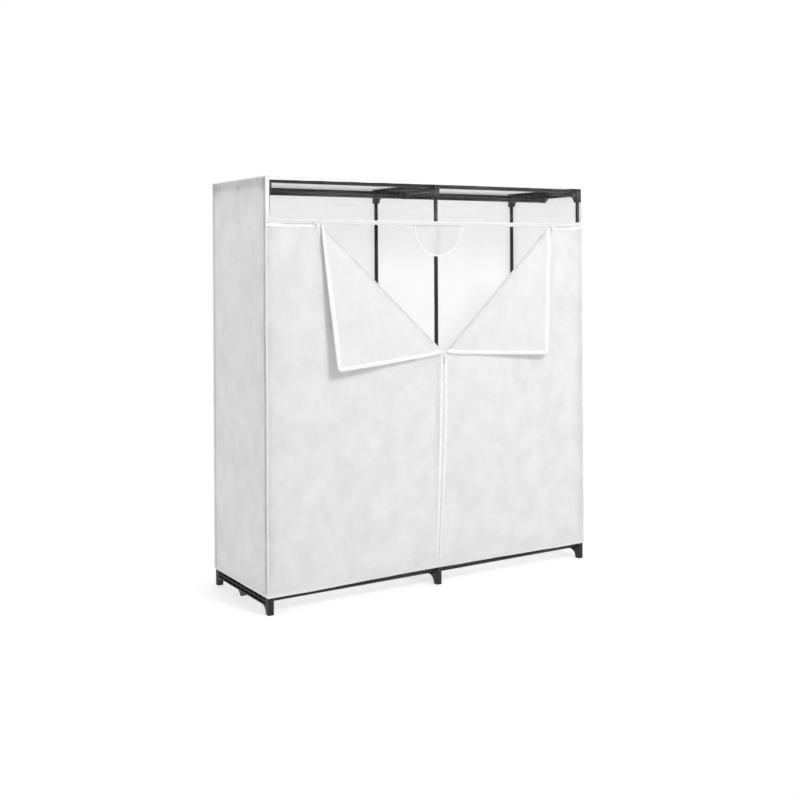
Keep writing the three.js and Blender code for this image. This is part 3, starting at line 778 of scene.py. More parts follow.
@dataclass(frozen=True)
class Row:
    """A row of small equal pieces along a path, made by Geometry Nodes."""

    kind: RowKind
    pitch: float
    length: float
    width: float
    height: float
    lift: float = 0.0
    stagger: float = 0.0
    jitter: float = 0.0
    seed: int = 7

    def sizes(self) -> dict[str, float]:
        """The tree's inputs that are plain numbers, by name."""
        names = ("Pitch", "Length", "Width", "Height", "Lift", "Stagger", "Jitter", "Seed")
        return {name: getattr(self, name.lower()) for name in names}

    def tree(self) -> tuple[Tree, dict[str, str]]:
        """Builds the node tree.

        Returns:
            The tree, and each input's identifier by its name.
        """
        graph = Graph(bpy.data.node_groups.new(f"{self.kind.value}_row", "GeometryNodeTree"))
        face, kinds = graph.tree.interface, {"Path": "Geometry", "Seed": "Int", "Material": "Material"}
        for name in ("Path", *self.sizes(), "Material"):
            face.new_socket(name, in_out="INPUT", socket_type=f"NodeSocket{kinds.get(name, 'Float')}")
        face.new_socket("Row", in_out="OUTPUT", socket_type="NodeSocketGeometry")
        ids = {item.name: item.identifier for item in face.items_tree if item.in_out == "INPUT"}
        start = graph.add("NodeGroupInput").outputs
        curve = graph.add("GeometryNodeMeshToCurve", start["Path"])
        even = graph.add("GeometryNodeResampleCurve", mode="LENGTH", Curve=curve, Length=start["Pitch"])
        facing = graph.add("GeometryNodeInputNamedAttribute", data_type="FLOAT_VECTOR", Name="facing")
        tangent = graph.add("GeometryNodeInputTangent")
        odd = graph.sum("PINGPONG", graph.add("GeometryNodeInputIndex"), 1)
        swing = graph.add("ShaderNodeMapRange", odd, To_Min=-1)
        across = graph.vector("CROSS_PRODUCT", facing, tangent)
        aside = graph.vector("SCALE", across, Scale=graph.sum("MULTIPLY", swing, start["Stagger"]))
        lifted = graph.vector("SCALE", facing, Scale=start["Lift"])
        place = graph.add("GeometryNodeSetPosition", Geometry=even, Offset=graph.vector("ADD", aside, lifted))
        up = graph.add("FunctionNodeAlignRotationToVector", axis="Z", Vector=facing)
        run = graph.add(
            "FunctionNodeAlignRotationToVector", axis="X", pivot_axis="Z", Rotation=up, Vector=tangent
        )
        size = graph.add("ShaderNodeCombineXYZ", *(start[name] for name in ("Length", "Width", "Height")))
        low = graph.sum("SUBTRACT", 1, start["Jitter"])
        chance = graph.add("FunctionNodeRandomValue", None, None, low, 1, Seed=start["Seed"]).outputs[1]
        one = self.element(graph, size)
        put = graph.add(
            "GeometryNodeInstanceOnPoints", Points=place, Instance=one, Rotation=run, Scale=chance
        )
        real = graph.add("GeometryNodeRealizeInstances", put)
        painted = graph.add("GeometryNodeSetMaterial", Geometry=real, Material=start["Material"])
        graph.add("NodeGroupOutput", painted)
        return graph.tree, ids

    def element(self, graph: Graph, size: Node) -> Node:
        """Adds the nodes of one small piece.

        Args:
            graph: the row's tree.
            size: gives the piece's size along, across and up.

        Returns:
            The node of its mesh.
        """
        if self.kind is RowKind.STITCH:
            ball = graph.add("GeometryNodeMeshIcoSphere", Radius=0.5, Subdivisions=1)
            return graph.add("GeometryNodeTransform", Geometry=ball, Scale=size)
        return graph.add("GeometryNodeMeshCube", Size=size)

    def make(self, name: str, paths: Sequence[Path], finish: Material, slot: str, body: str = ROOT) -> Object:
        """Runs the tree over the paths and dresses the result.

        Args:
            name: the piece's name.
            paths: each a line of (place, facing) pairs.
            finish: the row's material.
            slot: the record's material slot.
            body: the body that it rides on, or an empty name where it rides on none.

        Returns:
            A plain mesh object with every small piece in it.
        """
        verts, edges, facing = [], [], []
        for path in paths:
            first = len(verts)
            verts += [tuple(place) for place, _ in path]
            facing += [value for _, way in path for value in way]
            edges += [(first + i, first + i + 1) for i in range(len(path) - 1)]
        mesh = bpy.data.meshes.new(f"{name}_path")
        mesh.from_pydata(verts, edges, [])
        mesh.attributes.new("facing", "FLOAT_VECTOR", "POINT").data.foreach_set("vector", facing)
        carrier = linked(f"{name}_path", mesh)
        tree, ids = self.tree()
        modifier = carrier.modifiers.new("row", "NODES")
        modifier.node_group = tree
        for key, value in (*self.sizes().items(), ("Material", finish)):
            modifier[ids[key]] = value
        made_mesh = finished_mesh(carrier, name)
        if self.kind is RowKind.STITCH:
            made_mesh.shade_smooth()
        bpy.data.objects.remove(carrier)
        return dress(linked(name, made_mesh), finish, slot, body)


TEETH = Row(
    RowKind.TOOTH, pitch=0.0019, length=0.0012, width=0.0030, height=0.0016, lift=0.0003, stagger=0.0004
)
STITCHES = Row(
    RowKind.STITCH, pitch=0.0032, length=0.0025, width=0.0006, height=0.0005, lift=0.0001, jitter=0.12
)
TAPE_PROFILE = (
    (0.0, -0.0007), (0.0, 0.0007), (0.07, 0.0015), (0.22, 0.0021), (0.36, 0.0019),
    (0.46, 0.0011), (0.51, 0.0005), (1.0, 0.0005), (1.0, -0.0007),
)


def line(start: Sequence[float], end: Sequence[float], facing: Sequence[float]) -> Path:
    """A straight path of (place, facing) pairs."""
    return [(Vector(start), Vector(facing)), (Vector(end), Vector(facing))]


def top_zip_path(start: float, end: float, y: float, above: float) -> Path:
    """A path along the top zip, which rises towards the cover's ends.

    Args:
        start: its first X.
        end: its last X.
        y: its Y.
        above: how far over the zip's line it runs.

    Returns:
        The (place, facing) pairs.
    """
    steps = max(2, round(abs(end - start) / 0.012))
    places = [start + (end - start) * i / steps for i in range(steps + 1)]
    return [(Vector((x, y, COVER.top_zip_z + above + COVER.zip_rise(x))), FRONT) for x in places]


def tape_rings(lines: Iterable[tuple[Triple, Triple]], seed: float) -> list[list[Vector]]:
    """Rings of a sewn tape: a raised round binding on its cloth side and a flat strip along the teeth.

    Args:
        lines: for each step the inner and the outer end of the tape's width.
        seed: sets its slight waves.

    Returns:
        The rings.
    """
    rings = []
    for index, (inner, outer) in enumerate(lines):
        first, last, wave = Vector(inner), Vector(outer), waver(0.0005, index * 0.23, seed, 0)
        rings.append([first.lerp(last, u) + FRONT * (h + (wave if h > 0 else 0)) for u, h in TAPE_PROFILE])
    return rings


# The tube frame


@dataclass
class TubeFrame:
    """The steel tubes and the moulded brackets that hold them."""

    cad: dict
    finishes: Finishes
    tube_radius: float = 0.008
    wall: float = 0.0006
    bracket_x: float = 0.7485
    post_y: float = 0.2365
    bracket_thickness: float = 0.023
    seat: float = 0.0003
    lower_bar_top: float = 0.066
    upper_leg_foot: float = 1.564
    joint_z: float = 0.800
    swage_length: float = 0.036
    top_rail_z: float = 1.611
    bottom_rail_z: float = 0.0575
    rod_z: float = 1.580
    segments: int = 28
    edge_round: float = 0.0008
    channel_depth: float = 0.0095
    channel_height: float = 0.011
    channel_end: float = 0.221
    channel_feet: Pair = (0.004, 0.019)
    bar_feet: tuple[tuple[str, float], ...] = (("lower", 0.032), ("upper", 1.590))
    web_pitch: float = 0.0405
    web_thickness: float = 0.0016
    web_span: float = 0.92

    def build(self) -> None:
        """Builds every tube and bracket."""
        self.posts()
        self.rails()
        self.brackets()

    @property
    def columns(self) -> tuple[tuple[str, float], ...]:
        """The three columns and their X."""
        return ("left", -self.bracket_x), ("centre", 0.0), ("right", self.bracket_x)

    def tube_profile(self, length: float) -> list[Pair]:
        """The wall section of a plain tube with slightly rounded ends.

        Args:
            length: the tube's length.

        Returns:
            (radius, height) points.
        """
        outer, bore, nip = self.tube_radius, self.tube_radius - self.wall, self.wall / 2
        foot = [(bore, 0), (outer - nip, 0), (outer, nip)]
        return [*foot, (outer, length - nip), (outer - nip, length), (bore, length)]

    def swaged_profile(self, length: float) -> list[Pair]:
        """The wall section of a lower post, whose top end is drawn in to enter the upper post.

        Args:
            length: the length below the joint.

        Returns:
            (radius, height) points.
        """
        outer, bore = self.tube_radius, self.tube_radius - self.wall
        neck, top = bore - self.seat, length + self.swage_length
        return [
            (bore, 0), (outer - self.wall / 2, 0), (outer, self.wall / 2), (outer, length - 0.001),
            (neck, length), (neck, top - 0.002), (neck - 0.0008, top),
            (neck - 0.0012, top), (neck - self.wall, length - 0.004), (bore, length - 0.0046),
        ]

    def tube(self, name: str, profile: Sequence[Pair], foot: Triple, along_x: bool = False) -> None:
        """Makes one tube in place of its node.

        Args:
            name: the node's name.
            profile: the wall section.
            foot: where the tube starts.
            along_x: True where it runs along X, and False along Z.
        """
        angles = (2 * math.pi * step / self.segments for step in range(self.segments))
        rings = [[(r * math.cos(angle), r * math.sin(angle), h) for r, h in profile] for angle in angles]
        verts, faces = loft(rings, closed=True)
        turn = Matrix.Rotation(math.pi / 2, 4, "Y") if along_x else Matrix.Identity(4)
        place = Matrix.Translation(foot) @ turn
        piece = make_object(f"{name}_tube", [place @ Vector(v) for v in verts], faces, 50)
        dress(piece, self.finishes.steel, "tube_steel", nodes=[name])

    def posts(self) -> None:
        """Makes the six posts, each in a lower and an upper length."""
        lower_foot, upper_foot = self.lower_bar_top + self.seat, self.joint_z + self.seat
        lower = self.swaged_profile(self.joint_z - lower_foot)
        upper = self.tube_profile(self.upper_leg_foot - self.seat - upper_foot)
        for column, x in self.columns:
            for row, side in ROWS:
                y = COVER.middle_y + side * self.post_y
                self.tube(f"{column}_{row}_lower_post", lower, (x, y, lower_foot))
                self.tube(f"{column}_{row}_upper_post", upper, (x, y, upper_foot))

    def rails(self) -> None:
        """Makes the top and bottom rails and the two hanging rods."""
        inset = self.bracket_thickness / 2 + self.seat
        profile = self.tube_profile(self.bracket_x - 2 * inset)
        for bay, x in (("left", -self.bracket_x), ("right", 0.0)):
            self.tube(f"{bay}_hanging_rod", profile, (x + inset, COVER.middle_y, self.rod_z), True)
            for row, side in ROWS:
                y = COVER.middle_y + side * self.post_y
                self.tube(f"{bay}_{row}_top_rail", profile, (x + inset, y, self.top_rail_z), True)
                self.tube(f"{bay}_{row}_bottom_rail", profile, (x + inset, y, self.bottom_rail_z), True)

    def brackets(self) -> None:
        """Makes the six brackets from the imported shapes, with rounded edges and webs in their channels."""
        plastic, slot = self.finishes.plastic, "bracket_plastic"
        webs = Row(
            RowKind.RIB, pitch=self.web_pitch, length=self.web_thickness, width=self.channel_height + 0.001,
            height=self.channel_depth, lift=-self.channel_depth / 2 - 0.0006,
        )
        for column, x in self.columns:
            for level, bar_foot in self.bar_feet:
                name = f"{column}_{level}_bracket"
                piece = rounded_copy(self.cad["nodes"][name], f"{name}_moulding", self.edge_round)
                dress(piece, plastic, slot, nodes=[name])
                paths = []
                for side, low in ((side, low) for side in (-1, 1) for low in self.channel_feet):
                    z, face = bar_foot + low + self.channel_height / 2, x + side * self.bracket_thickness / 2
                    spans = (-self.web_span, self.web_span)
                    ends = [(face, COVER.middle_y + span * self.channel_end, z) for span in spans]
                    paths.append(line(*ends, (side, 0, 0)))
                webs.make(f"{name}_webs", paths, plastic, slot)


# The cloth cover


@dataclass(frozen=True)
class Fold:
    """The diagonal fold of one turned-out door corner, and how the corner lies once it is folded."""

    side: Side
    apex_x: float
    tilt_degrees: float
    drift: Pair
    seed: float
    radius: float = 0.0026
    bulge: float = 0.011

    @property
    def apex(self) -> np.ndarray:
        """The fold's upper end, on the top zip, as X and Z."""
        return np.array([self.apex_x, COVER.top_zip_z])

    @property
    def foot(self) -> np.ndarray:
        """The fold's lower end, on the centre zip."""
        return np.array([COVER.zip_x, COVER.fold_foot_z])

    @property
    def length(self) -> float:
        """The length of the fold."""
        return float(np.linalg.norm(self.foot - self.apex))

    @property
    def along(self) -> np.ndarray:
        """The way from the apex to the foot."""
        way = self.foot - self.apex
        return way / np.linalg.norm(way)

    @property
    def inward(self) -> np.ndarray:
        """The way from the fold into the opening."""
        x, z = self.along
        return np.array([self.side.value * z, -self.side.value * x])

    def x_at(self, z: float) -> float:
        """X of the fold line at a height."""
        return float(self.apex[0] + (z - self.apex[1]) * self.along[0] / self.along[1])

    def z_at(self, x: float) -> float:
        """Height of the fold line at an X."""
        return float(self.apex[1] + (x - self.apex[0]) * self.along[1] / self.along[0])

    def lies(self, flat: np.ndarray, lift: float = 0.0) -> tuple[Vector, Vector]:
        """Where a place of the closed corner lies once the corner is turned out.

        Args:
            flat: the place's X and Z in the closed door.
            lift: how far it stands off the cloth's middle, towards the inside of the closed door.

        Returns:
            The place, and the way that the closed door's inside faces there.
        """
        way = flat - self.apex
        along, off = float(way @ self.along), max(float(way @ self.inward), 0.0)
        line_end = math.pi * self.radius
        here = self.apex + along * self.along
        inward, back = Vector((self.inward[0], 0, self.inward[1])), -FRONT
        if off < line_end:
            angle = off / self.radius
            facing = math.sin(angle) * inward + math.cos(angle) * back
            centre = Vector((here[0], COVER.front_mid_y - self.radius, here[1]))
            return centre + (self.radius + lift) * facing, facing
        run, half = off - line_end, self.length / 2
        stand = self.stand_off(along, run)
        lean = (self.stand_off(along, run + 0.0005) - stand) / 0.0005
        wave = self.ripple(along, run) * smoothstep(run, 0.01, 0.12)
        far = smoothstep(run, 0.05, 0.40) * smoothstep(1 - abs(along - half) / half, 0.0, 0.9)
        reach_out = run + line_end * smoothstep(run, 0.0, 0.035)
        level_share = math.cos(math.radians(self.tilt_degrees))
        place = Vector((here[0], COVER.front_mid_y - stand, here[1])) - reach_out * level_share * inward
        place += Vector((self.drift[0] * far, 0, self.drift[1] * far))
        facing = (-back + lean * inward).normalized()
        return place + (wave + lift) * facing, facing

    def stand_off(self, along: float, run: float) -> float:
        """How far the turned-out cloth stands off the door, which swells near the fold's upper end.

        Args:
            along: the distance along the fold.
            run: the distance off it.

        Returns:
            The distance.
        """
        swell = self.bulge * smoothstep(self.length - along, 0.10, 0.34)
        swell *= (1 - math.exp(-(run / 0.020) ** 2)) * math.exp(-run / 0.22)
        tilt = run * math.tan(math.radians(self.tilt_degrees))
        return tilt + swell + 2 * self.radius * math.exp(-run / 0.10)

    def ripple(self, along: float, run: float) -> float:
        """Soft waves of the turned-out cloth, at a distance along the fold and off it."""
        fine = waver(0.0010, along * 16, run * 9, self.seed + 5)
        return waver(0.0035, along * 5.5, run * 4.0, self.seed) + fine


LEFT_FOLD = Fold(Side.LEFT, COVER.left_apex_x, 7.0, (0.0, 0.002), 3.0)
RIGHT_FOLD = Fold(Side.RIGHT, COVER.right_apex_x, 5.0, (-0.001, 0.002), 11.0)


@dataclass
class ClothPanels:
    """The top, back and side panels, each one cloth sheet."""

    finishes: Finishes
    step: float = 0.012
    hold: float = 0.05

    def build(self) -> None:
        """Builds the four panels."""
        w, y0, y1, own = COVER.half_width, COVER.front_y, COVER.back_y, self.finishes
        foot, top = COVER.cloth_foot_z, COVER.height - COVER.cloth / 2
        wide, deep, tall = (2 * w, 0, 0), (0, y1 - y0, 0), (0, 0, top - foot)
        sides, backs = (0.0035, 0.28, 0.0016, 0.09), (0.004, 0.33, 0.0016, 0.11)
        panels = (
            ("left_side", own.side_cloth, (-w + 0.0004, y0, foot), deep, tall, (-1, 0, 0), Billow(*sides, 21)),
            ("right_side", own.back_cloth, (w - 0.0004, y0, foot), deep, tall, (1, 0, 0), Billow(*sides, 42)),
            ("back", own.back_cloth, (-w, y1 - 0.0004, foot), wide, tall, (0, 1, 0), Billow(*backs, 63)),
            ("top", own.cloth, (-w, y0, top), wide, deep, (0, 0, 1), Billow(0.0008, 0.2, 0.0008, 0.07, 84)),
        )
        for panel in panels:
            self.panel(*panel)

    @staticmethod
    def stand(word: str, u: float, v: float, out: float) -> float:
        """How far a panel stands out. The top sags between its rails, and the others swell outwards.

        Args:
            word: the panel's name.
            u: share across.
            v: share up, or to the back.
            out: the billow there.

        Returns:
            The distance outwards.
        """
        if word != "top":
            return max(out, -0.0006)
        bay = abs(math.sin(2 * math.pi * u))
        return out * 0.6 - 0.0045 * bay ** 0.8 * math.sin(math.pi * v) ** 0.7

    def panel(
        self, word: str, finish: Material, corner: Triple, across: Triple, up: Triple, out: Triple,
        billow: Billow,
    ) -> None:
        """Makes one panel in place of its node.

        Args:
            word: the panel's name.
            finish: its material.
            corner: its first corner.
            across: from that corner to the next.
            up: from that corner up.
            out: the way it faces.
            billow: how its cloth stands off.
        """
        first, across_way, up_way, out_way = (np.array(v, float) for v in (corner, across, up, out))
        width, height = float(np.linalg.norm(across_way)), float(np.linalg.norm(up_way))
        cols, rows = max(2, round(width / self.step)), max(2, round(height / self.step))

        def place(r: int, c: int) -> np.ndarray:
            """A point of the panel.

            Args:
                r: its row.
                c: its column.

            Returns:
                The point.
            """
            u, v = c / cols, r / rows
            edge = min(u * width, (1 - u) * width, v * height, (1 - v) * height)
            stand = self.stand(word, u, v, billow.at(u * width, v * height))
            stand *= smoothstep(edge, 0.0, self.hold)
            return first + u * across_way + v * up_way + stand * out_way

        piece = cloth_object(f"{word}_cloth", grid_of(rows, cols, place), out)
        dress(piece, finish, "cover_cloth", nodes=[f"{word}_panel"])


@dataclass
class Door:
    """One front door: its cloth, cut away along the fold and the zips, and its halves of the closed zips."""

    fold: Fold
    finishes: Finishes
    rows_below: int = 72
    rows_above: int = 44
    cols: int = 62
    tape_cover: float = 0.004
    tape_end: float = 0.004
    chain_inset: float = 0.070
    chain_out: float = 0.0002
    chain_off: float = 0.0010
    gap: float = 0.0007
    outer_inset: float = 0.0006

    def build(self) -> None:
        """Builds the door's cloth, tapes, teeth and stitches."""
        self.cloth()
        self.tapes()

    def tape_width(self, z: float) -> float:
        """Width of this half of the centre zip at a height, which narrows to its foot."""
        full = 0.0135 + 0.0045 * smoothstep(z, 0.15, 0.60)
        return full * (0.60 + 0.40 * smoothstep(z, 0.100, 0.112))

    def inner_x(self, z: float) -> float:
        """X of the cloth's inner edge at a height, under the tape, behind the fold or on the zip's line.

        Args:
            z: the height.

        Returns:
            The edge's X.
        """
        side = self.fold.side.value
        under_tape = COVER.zip_line_x(z) + side * max(self.tape_width(z) - self.tape_cover, 0.0006)
        if z <= COVER.zip_foot_z:
            under_tape = COVER.zip_line_x(z) + side * 0.0004
        return side * max(side * under_tape, side * self.fold.x_at(z))

    def centre_path(self, share: float, y: float) -> Path:
        """A path down this half of the centre zip.

        Args:
            share: 0 at the tape's cloth edge, 1 on the zip's line.
            y: its Y.

        Returns:
            The (place, facing) pairs.
        """
        pairs = []
        for z in np.linspace(COVER.zip_foot_z + self.tape_end, COVER.fold_foot_z - self.tape_end, 70):
            x = COVER.zip_line_x(z) + self.fold.side.value * self.tape_width(z) * (1 - share)
            pairs.append((Vector((x, y, float(z))), FRONT))
        return pairs

    def cloth(self) -> None:
        """Makes the door's cloth."""
        side, word, knee = self.fold.side.value, self.fold.side.word, COVER.fold_foot_z
        foot, top = COVER.cloth_foot_z, COVER.top_zip_z - COVER.tape_width + 0.003
        heights = [*np.linspace(foot, COVER.zip_foot_z - 0.0005, 4), COVER.zip_foot_z + 0.0005]
        heights += [*np.linspace(COVER.zip_foot_z + 0.012, knee, self.rows_below)]
        heights += [*np.linspace(knee, top, self.rows_above)][1:]
        billow = Billow(0.0046, 0.34, 0.0019, 0.10, 5.0 if side < 0 else 15.0)
        outer = side * (COVER.half_width - self.outer_inset)
        inners = [self.inner_x(z) for z in heights]

        def place(r: int, c: int) -> Triple:
            """A point of the door.

            Args:
                r: its row.
                c: its column.

            Returns:
                The point.
            """
            z, inner = heights[r], inners[r]
            x = outer + (inner - outer) * c / self.cols
            held = smoothstep(abs(x - outer), 0, 0.06) * smoothstep(abs(x - inner), 0, 0.09)
            held *= smoothstep(z - foot, 0, 0.08) * smoothstep(top - z, 0, 0.06)
            stand = max(billow.at(x, z) + self.pull_lines(x, z), -0.0004) * held
            return x, COVER.front_mid_y - stand, z + COVER.zip_rise(x) * smoothstep(z, 1.15, top)

        piece = cloth_object(f"{word}_door_cloth", grid_of(len(heights) - 1, self.cols, place), FRONT)
        dress(piece, self.finishes.cloth, "cover_cloth", nodes=[f"{word}_door"])

    def pull_lines(self, x: float, z: float) -> float:
        """Creases that run down from the top zip's slider, where the door carries the turned-out corner.

        Args:
            x: a place across the door.
            z: its height.

        Returns:
            How far the cloth stands out there.
        """
        dx, dz = (x - self.fold.apex_x) * self.fold.side.value, COVER.top_zip_z - z
        reach, angle = math.hypot(dx, dz), math.atan2(dx, max(dz, 1e-6))
        fade = smoothstep(reach, 0.01, 0.06) * (1 - smoothstep(reach, 0.15, 0.50))
        return 0.0016 * fade * math.sin(14 * angle) * smoothstep(angle, 0.0, 0.3)

    def tapes(self) -> None:
        """Makes the halves of the closed zips on this door: tapes, teeth and stitches."""
        side, word, own = self.fold.side.value, self.fold.side.word, self.finishes
        y, gap, chain_y = COVER.front_mid_y, self.gap, COVER.front_mid_y - self.chain_out
        lines = []
        for z in np.linspace(COVER.zip_foot_z - self.tape_end, COVER.fold_foot_z - self.tape_end, 110):
            middle = COVER.zip_line_x(z)
            lines.append(((middle + side * (self.tape_width(z) + 0.0004), y, z), (middle + side * gap, y, z)))
        centre = make_object(f"{word}_centre_zip_tape", *loft(tape_rings(lines, 8.0 + side)), SEWN_DEGREES)
        dress(centre, own.tape, "zip_tape", nodes=[f"{word}_centre_zip"])
        apex = self.fold.apex_x
        start, end = side * (COVER.half_width - 0.002), apex - side * 0.002
        lines = []
        for x in np.linspace(start, end, 40):
            z = COVER.top_zip_z + COVER.zip_rise(x)
            lines.append(((x, y, z - COVER.tape_width - 0.0004), (x, y, z - gap)))
        level = make_object(f"{word}_top_zip_tape", *loft(tape_rings(lines, 14.0 + side)), SEWN_DEGREES)
        dress(level, own.tape, "zip_tape", nodes=[f"{word}_top_zip"])
        chains = [self.centre_path(0.92, chain_y)]
        level_start = side * (COVER.half_width - self.chain_inset)
        chains.append(top_zip_path(level_start, apex, chain_y, -self.chain_off))
        TEETH.make(f"{word}_door_teeth", chains, own.teeth, "zip_tape")
        seams = []
        for share, lift in ((0.08, 0.0015), (0.40, 0.0016)):
            seams.append(self.centre_path(share, y - lift))
            seams.append(top_zip_path(start - side * 0.004, end, y - lift, (share - 1) * COVER.tape_width))
        STITCHES.make(f"{word}_door_stitches", seams, own.thread, "zip_tape")


@dataclass
class TurnedCorner:
    """A door's upper corner, unzipped and turned out over its fold: cloth, zip tape, teeth and stitches."""

    fold: Fold
    finishes: Finishes
    rows: int = 56
    cols: int = 64
    inset: float = 0.005
    # Strength and reach of the painted shade along the fold and at the gathered apex.
    crease_depth: float = 0.17
    gather_reach: float = 0.034
    gather_depth: float = 0.16
    round_radius: float = 0.020
    top_tape_width: float = 0.0195
    centre_tape_width: float = 0.0150
    half_profile: tuple[Pair, ...] = (
        (0.0, 0.0008), (0.10, 0.0014), (0.22, 0.0021), (0.50, 0.0024), (0.76, 0.0020), (0.92, 0.0011),
        (1.0, 0.0005),
    )

    def build(self) -> None:
        """Builds the corner's pieces."""
        self.cloth()
        self.tape()

    def blended(self, piece: Object) -> None:
        """Bakes a piece's transform into its mesh."""
        start, end = ((0.0, COVER.front_mid_y - off, 1.2) for off in (0, 2 * self.fold.radius))
        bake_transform(piece)
        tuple(start)
        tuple(end)

    def finish(self) -> Material:
        """The turned-out cloth's finish, with painted shade along its fold and at the gathered apex.

        Returns:
            The material.
        """
        inward, apex = self.fold.inward, self.fold.apex
        across, middle = (float(inward[0]), 0.0, float(inward[1])), float(apex @ inward)
        gathered = (float(apex[0]), COVER.front_y - 0.004, float(apex[1]) - 0.012)
        # Painted shade: a dark line on the fold, a faint wider band beside it, and a spot at the gathered
        # apex.
        creases = (
            Shade(across, middle, 0.006, self.crease_depth, 0.003),
            Shade(across, middle - 0.008, 0.012, 0.05, 0.012),
            Spot(gathered, self.gather_reach, self.gather_depth),
        )
        name = f"{self.fold.side.word}_turned_out_cloth"
        return ClothFinish(name, grey(0.905), grey(0.855), 12, through=0.1, shades=creases).material()

    def cloth(self) -> None:
        """Makes the corner's cloth."""
        fold, word = self.fold, self.fold.side.word
        apex, foot = fold.apex + fold.along * 0.004, fold.foot - fold.along * 0.004
        tip = np.array([COVER.zip_x + fold.side.value * self.inset, COVER.top_zip_z - self.inset])

        def place(r: int, c: int) -> tuple[Vector, Vector]:
            """A point of the corner and its normal.

            Args:
                r: its row.
                c: its column.

            Returns:
                The point and the normal.
            """
            base = apex + (foot - apex) * c / self.cols
            return fold.lies(base + (tip - base) * (r / self.rows) ** 1.25)

        grid = np.array(grid_of(self.rows, self.cols, place))
        piece = cloth_object(f"{word}_corner_cloth", grid[:, :, 0], grid[:, :, 1])
        dress(piece, self.finish(), "cover_cloth", body="", nodes=[f"{word}_corner_flap"])
        self.blended(piece)

    def edge_pairs(self) -> list[tuple[np.ndarray, np.ndarray]]:
        """The tape's outer and inner edge in the closed door, from the apex round the corner to the foot.

        Returns:
            Pairs of places as X and Z.
        """
        fold, side, radius = self.fold, self.fold.side.value, self.round_radius
        wide, narrow = self.top_tape_width, self.centre_tape_width
        top, zip_x = COVER.top_zip_z - 0.0006, COVER.zip_x + side * 0.0006
        pairs = []
        start_out, start_in = fold.x_at(top) - side * 0.006, fold.x_at(top - wide) - side * 0.004
        for share in np.linspace(0, 1, 48):
            out_x, in_x = (begin + (zip_x + side * radius - begin) * share for begin in (start_out, start_in))
            width = wide * (0.55 + 0.45 * smoothstep(float(share), 0.0, 0.45))
            pairs.append((np.array([out_x, top]), np.array([in_x, top - width])))
        middle = np.array([zip_x + side * radius, top - radius])
        for turned in np.linspace(0, 1, 8)[1:-1]:
            angle, width = turned * math.pi / 2, wide + (narrow - wide) * turned
            way = np.array([-side * math.sin(angle), math.cos(angle)])
            pairs.append((middle + radius * way, middle + (radius - width) * way))
        out_end, in_end = fold.foot[1] + 0.006, fold.z_at(zip_x + side * narrow) + 0.003
        for share in np.linspace(0, 1, 48):
            out_z, in_z = (top - radius + (end - (top - radius)) * share for end in (out_end, in_end))
            pairs.append((np.array([zip_x, out_z]), np.array([zip_x + side * narrow, in_z])))
        return pairs

    def tape(self) -> None:
        """Makes the tape round the corner's free edges, with its teeth and stitches."""
        word, own, pairs = self.fold.side.word, self.finishes, self.edge_pairs()
        profile = self.half_profile + tuple((share, -lift) for share, lift in reversed(self.half_profile))
        rings = []
        for outer, inner in pairs:
            rings.append([self.fold.lies(outer + (inner - outer) * share, lift)[0] for share, lift in profile])
        piece = make_object(f"{word}_corner_tape", *loft(rings), SEWN_DEGREES)
        dress(piece, own.tape, "zip_tape", body="", nodes=[f"{word}_corner_zip"])
        self.blended(piece)
        chain = [self.on_tape(pair, -0.05, 0.0) for pair in pairs[3:]]
        self.blended(TEETH.make(f"{word}_corner_teeth", [chain], own.teeth, "zip_tape", ""))
        rows = ((0.16, 0.0017), (0.16, -0.0017), (0.88, 0.0014), (0.88, -0.0014))
        seams = [[self.on_tape(pair, share, lift) for pair in pairs[2:-2]] for share, lift in rows]
        self.blended(STITCHES.make(f"{word}_corner_stitches", seams, own.thread, "zip_tape", ""))

    def on_tape(self, pair: Sequence[np.ndarray], share: float, lift: float) -> tuple[Vector, Vector]:
        """A place on the tape, at a share of its width from its outer edge, and the way that it faces."""
        place, facing = self.fold.lies(pair[0] + (pair[1] - pair[0]) * share, lift)
        return place, facing if lift >= 0 else -facing


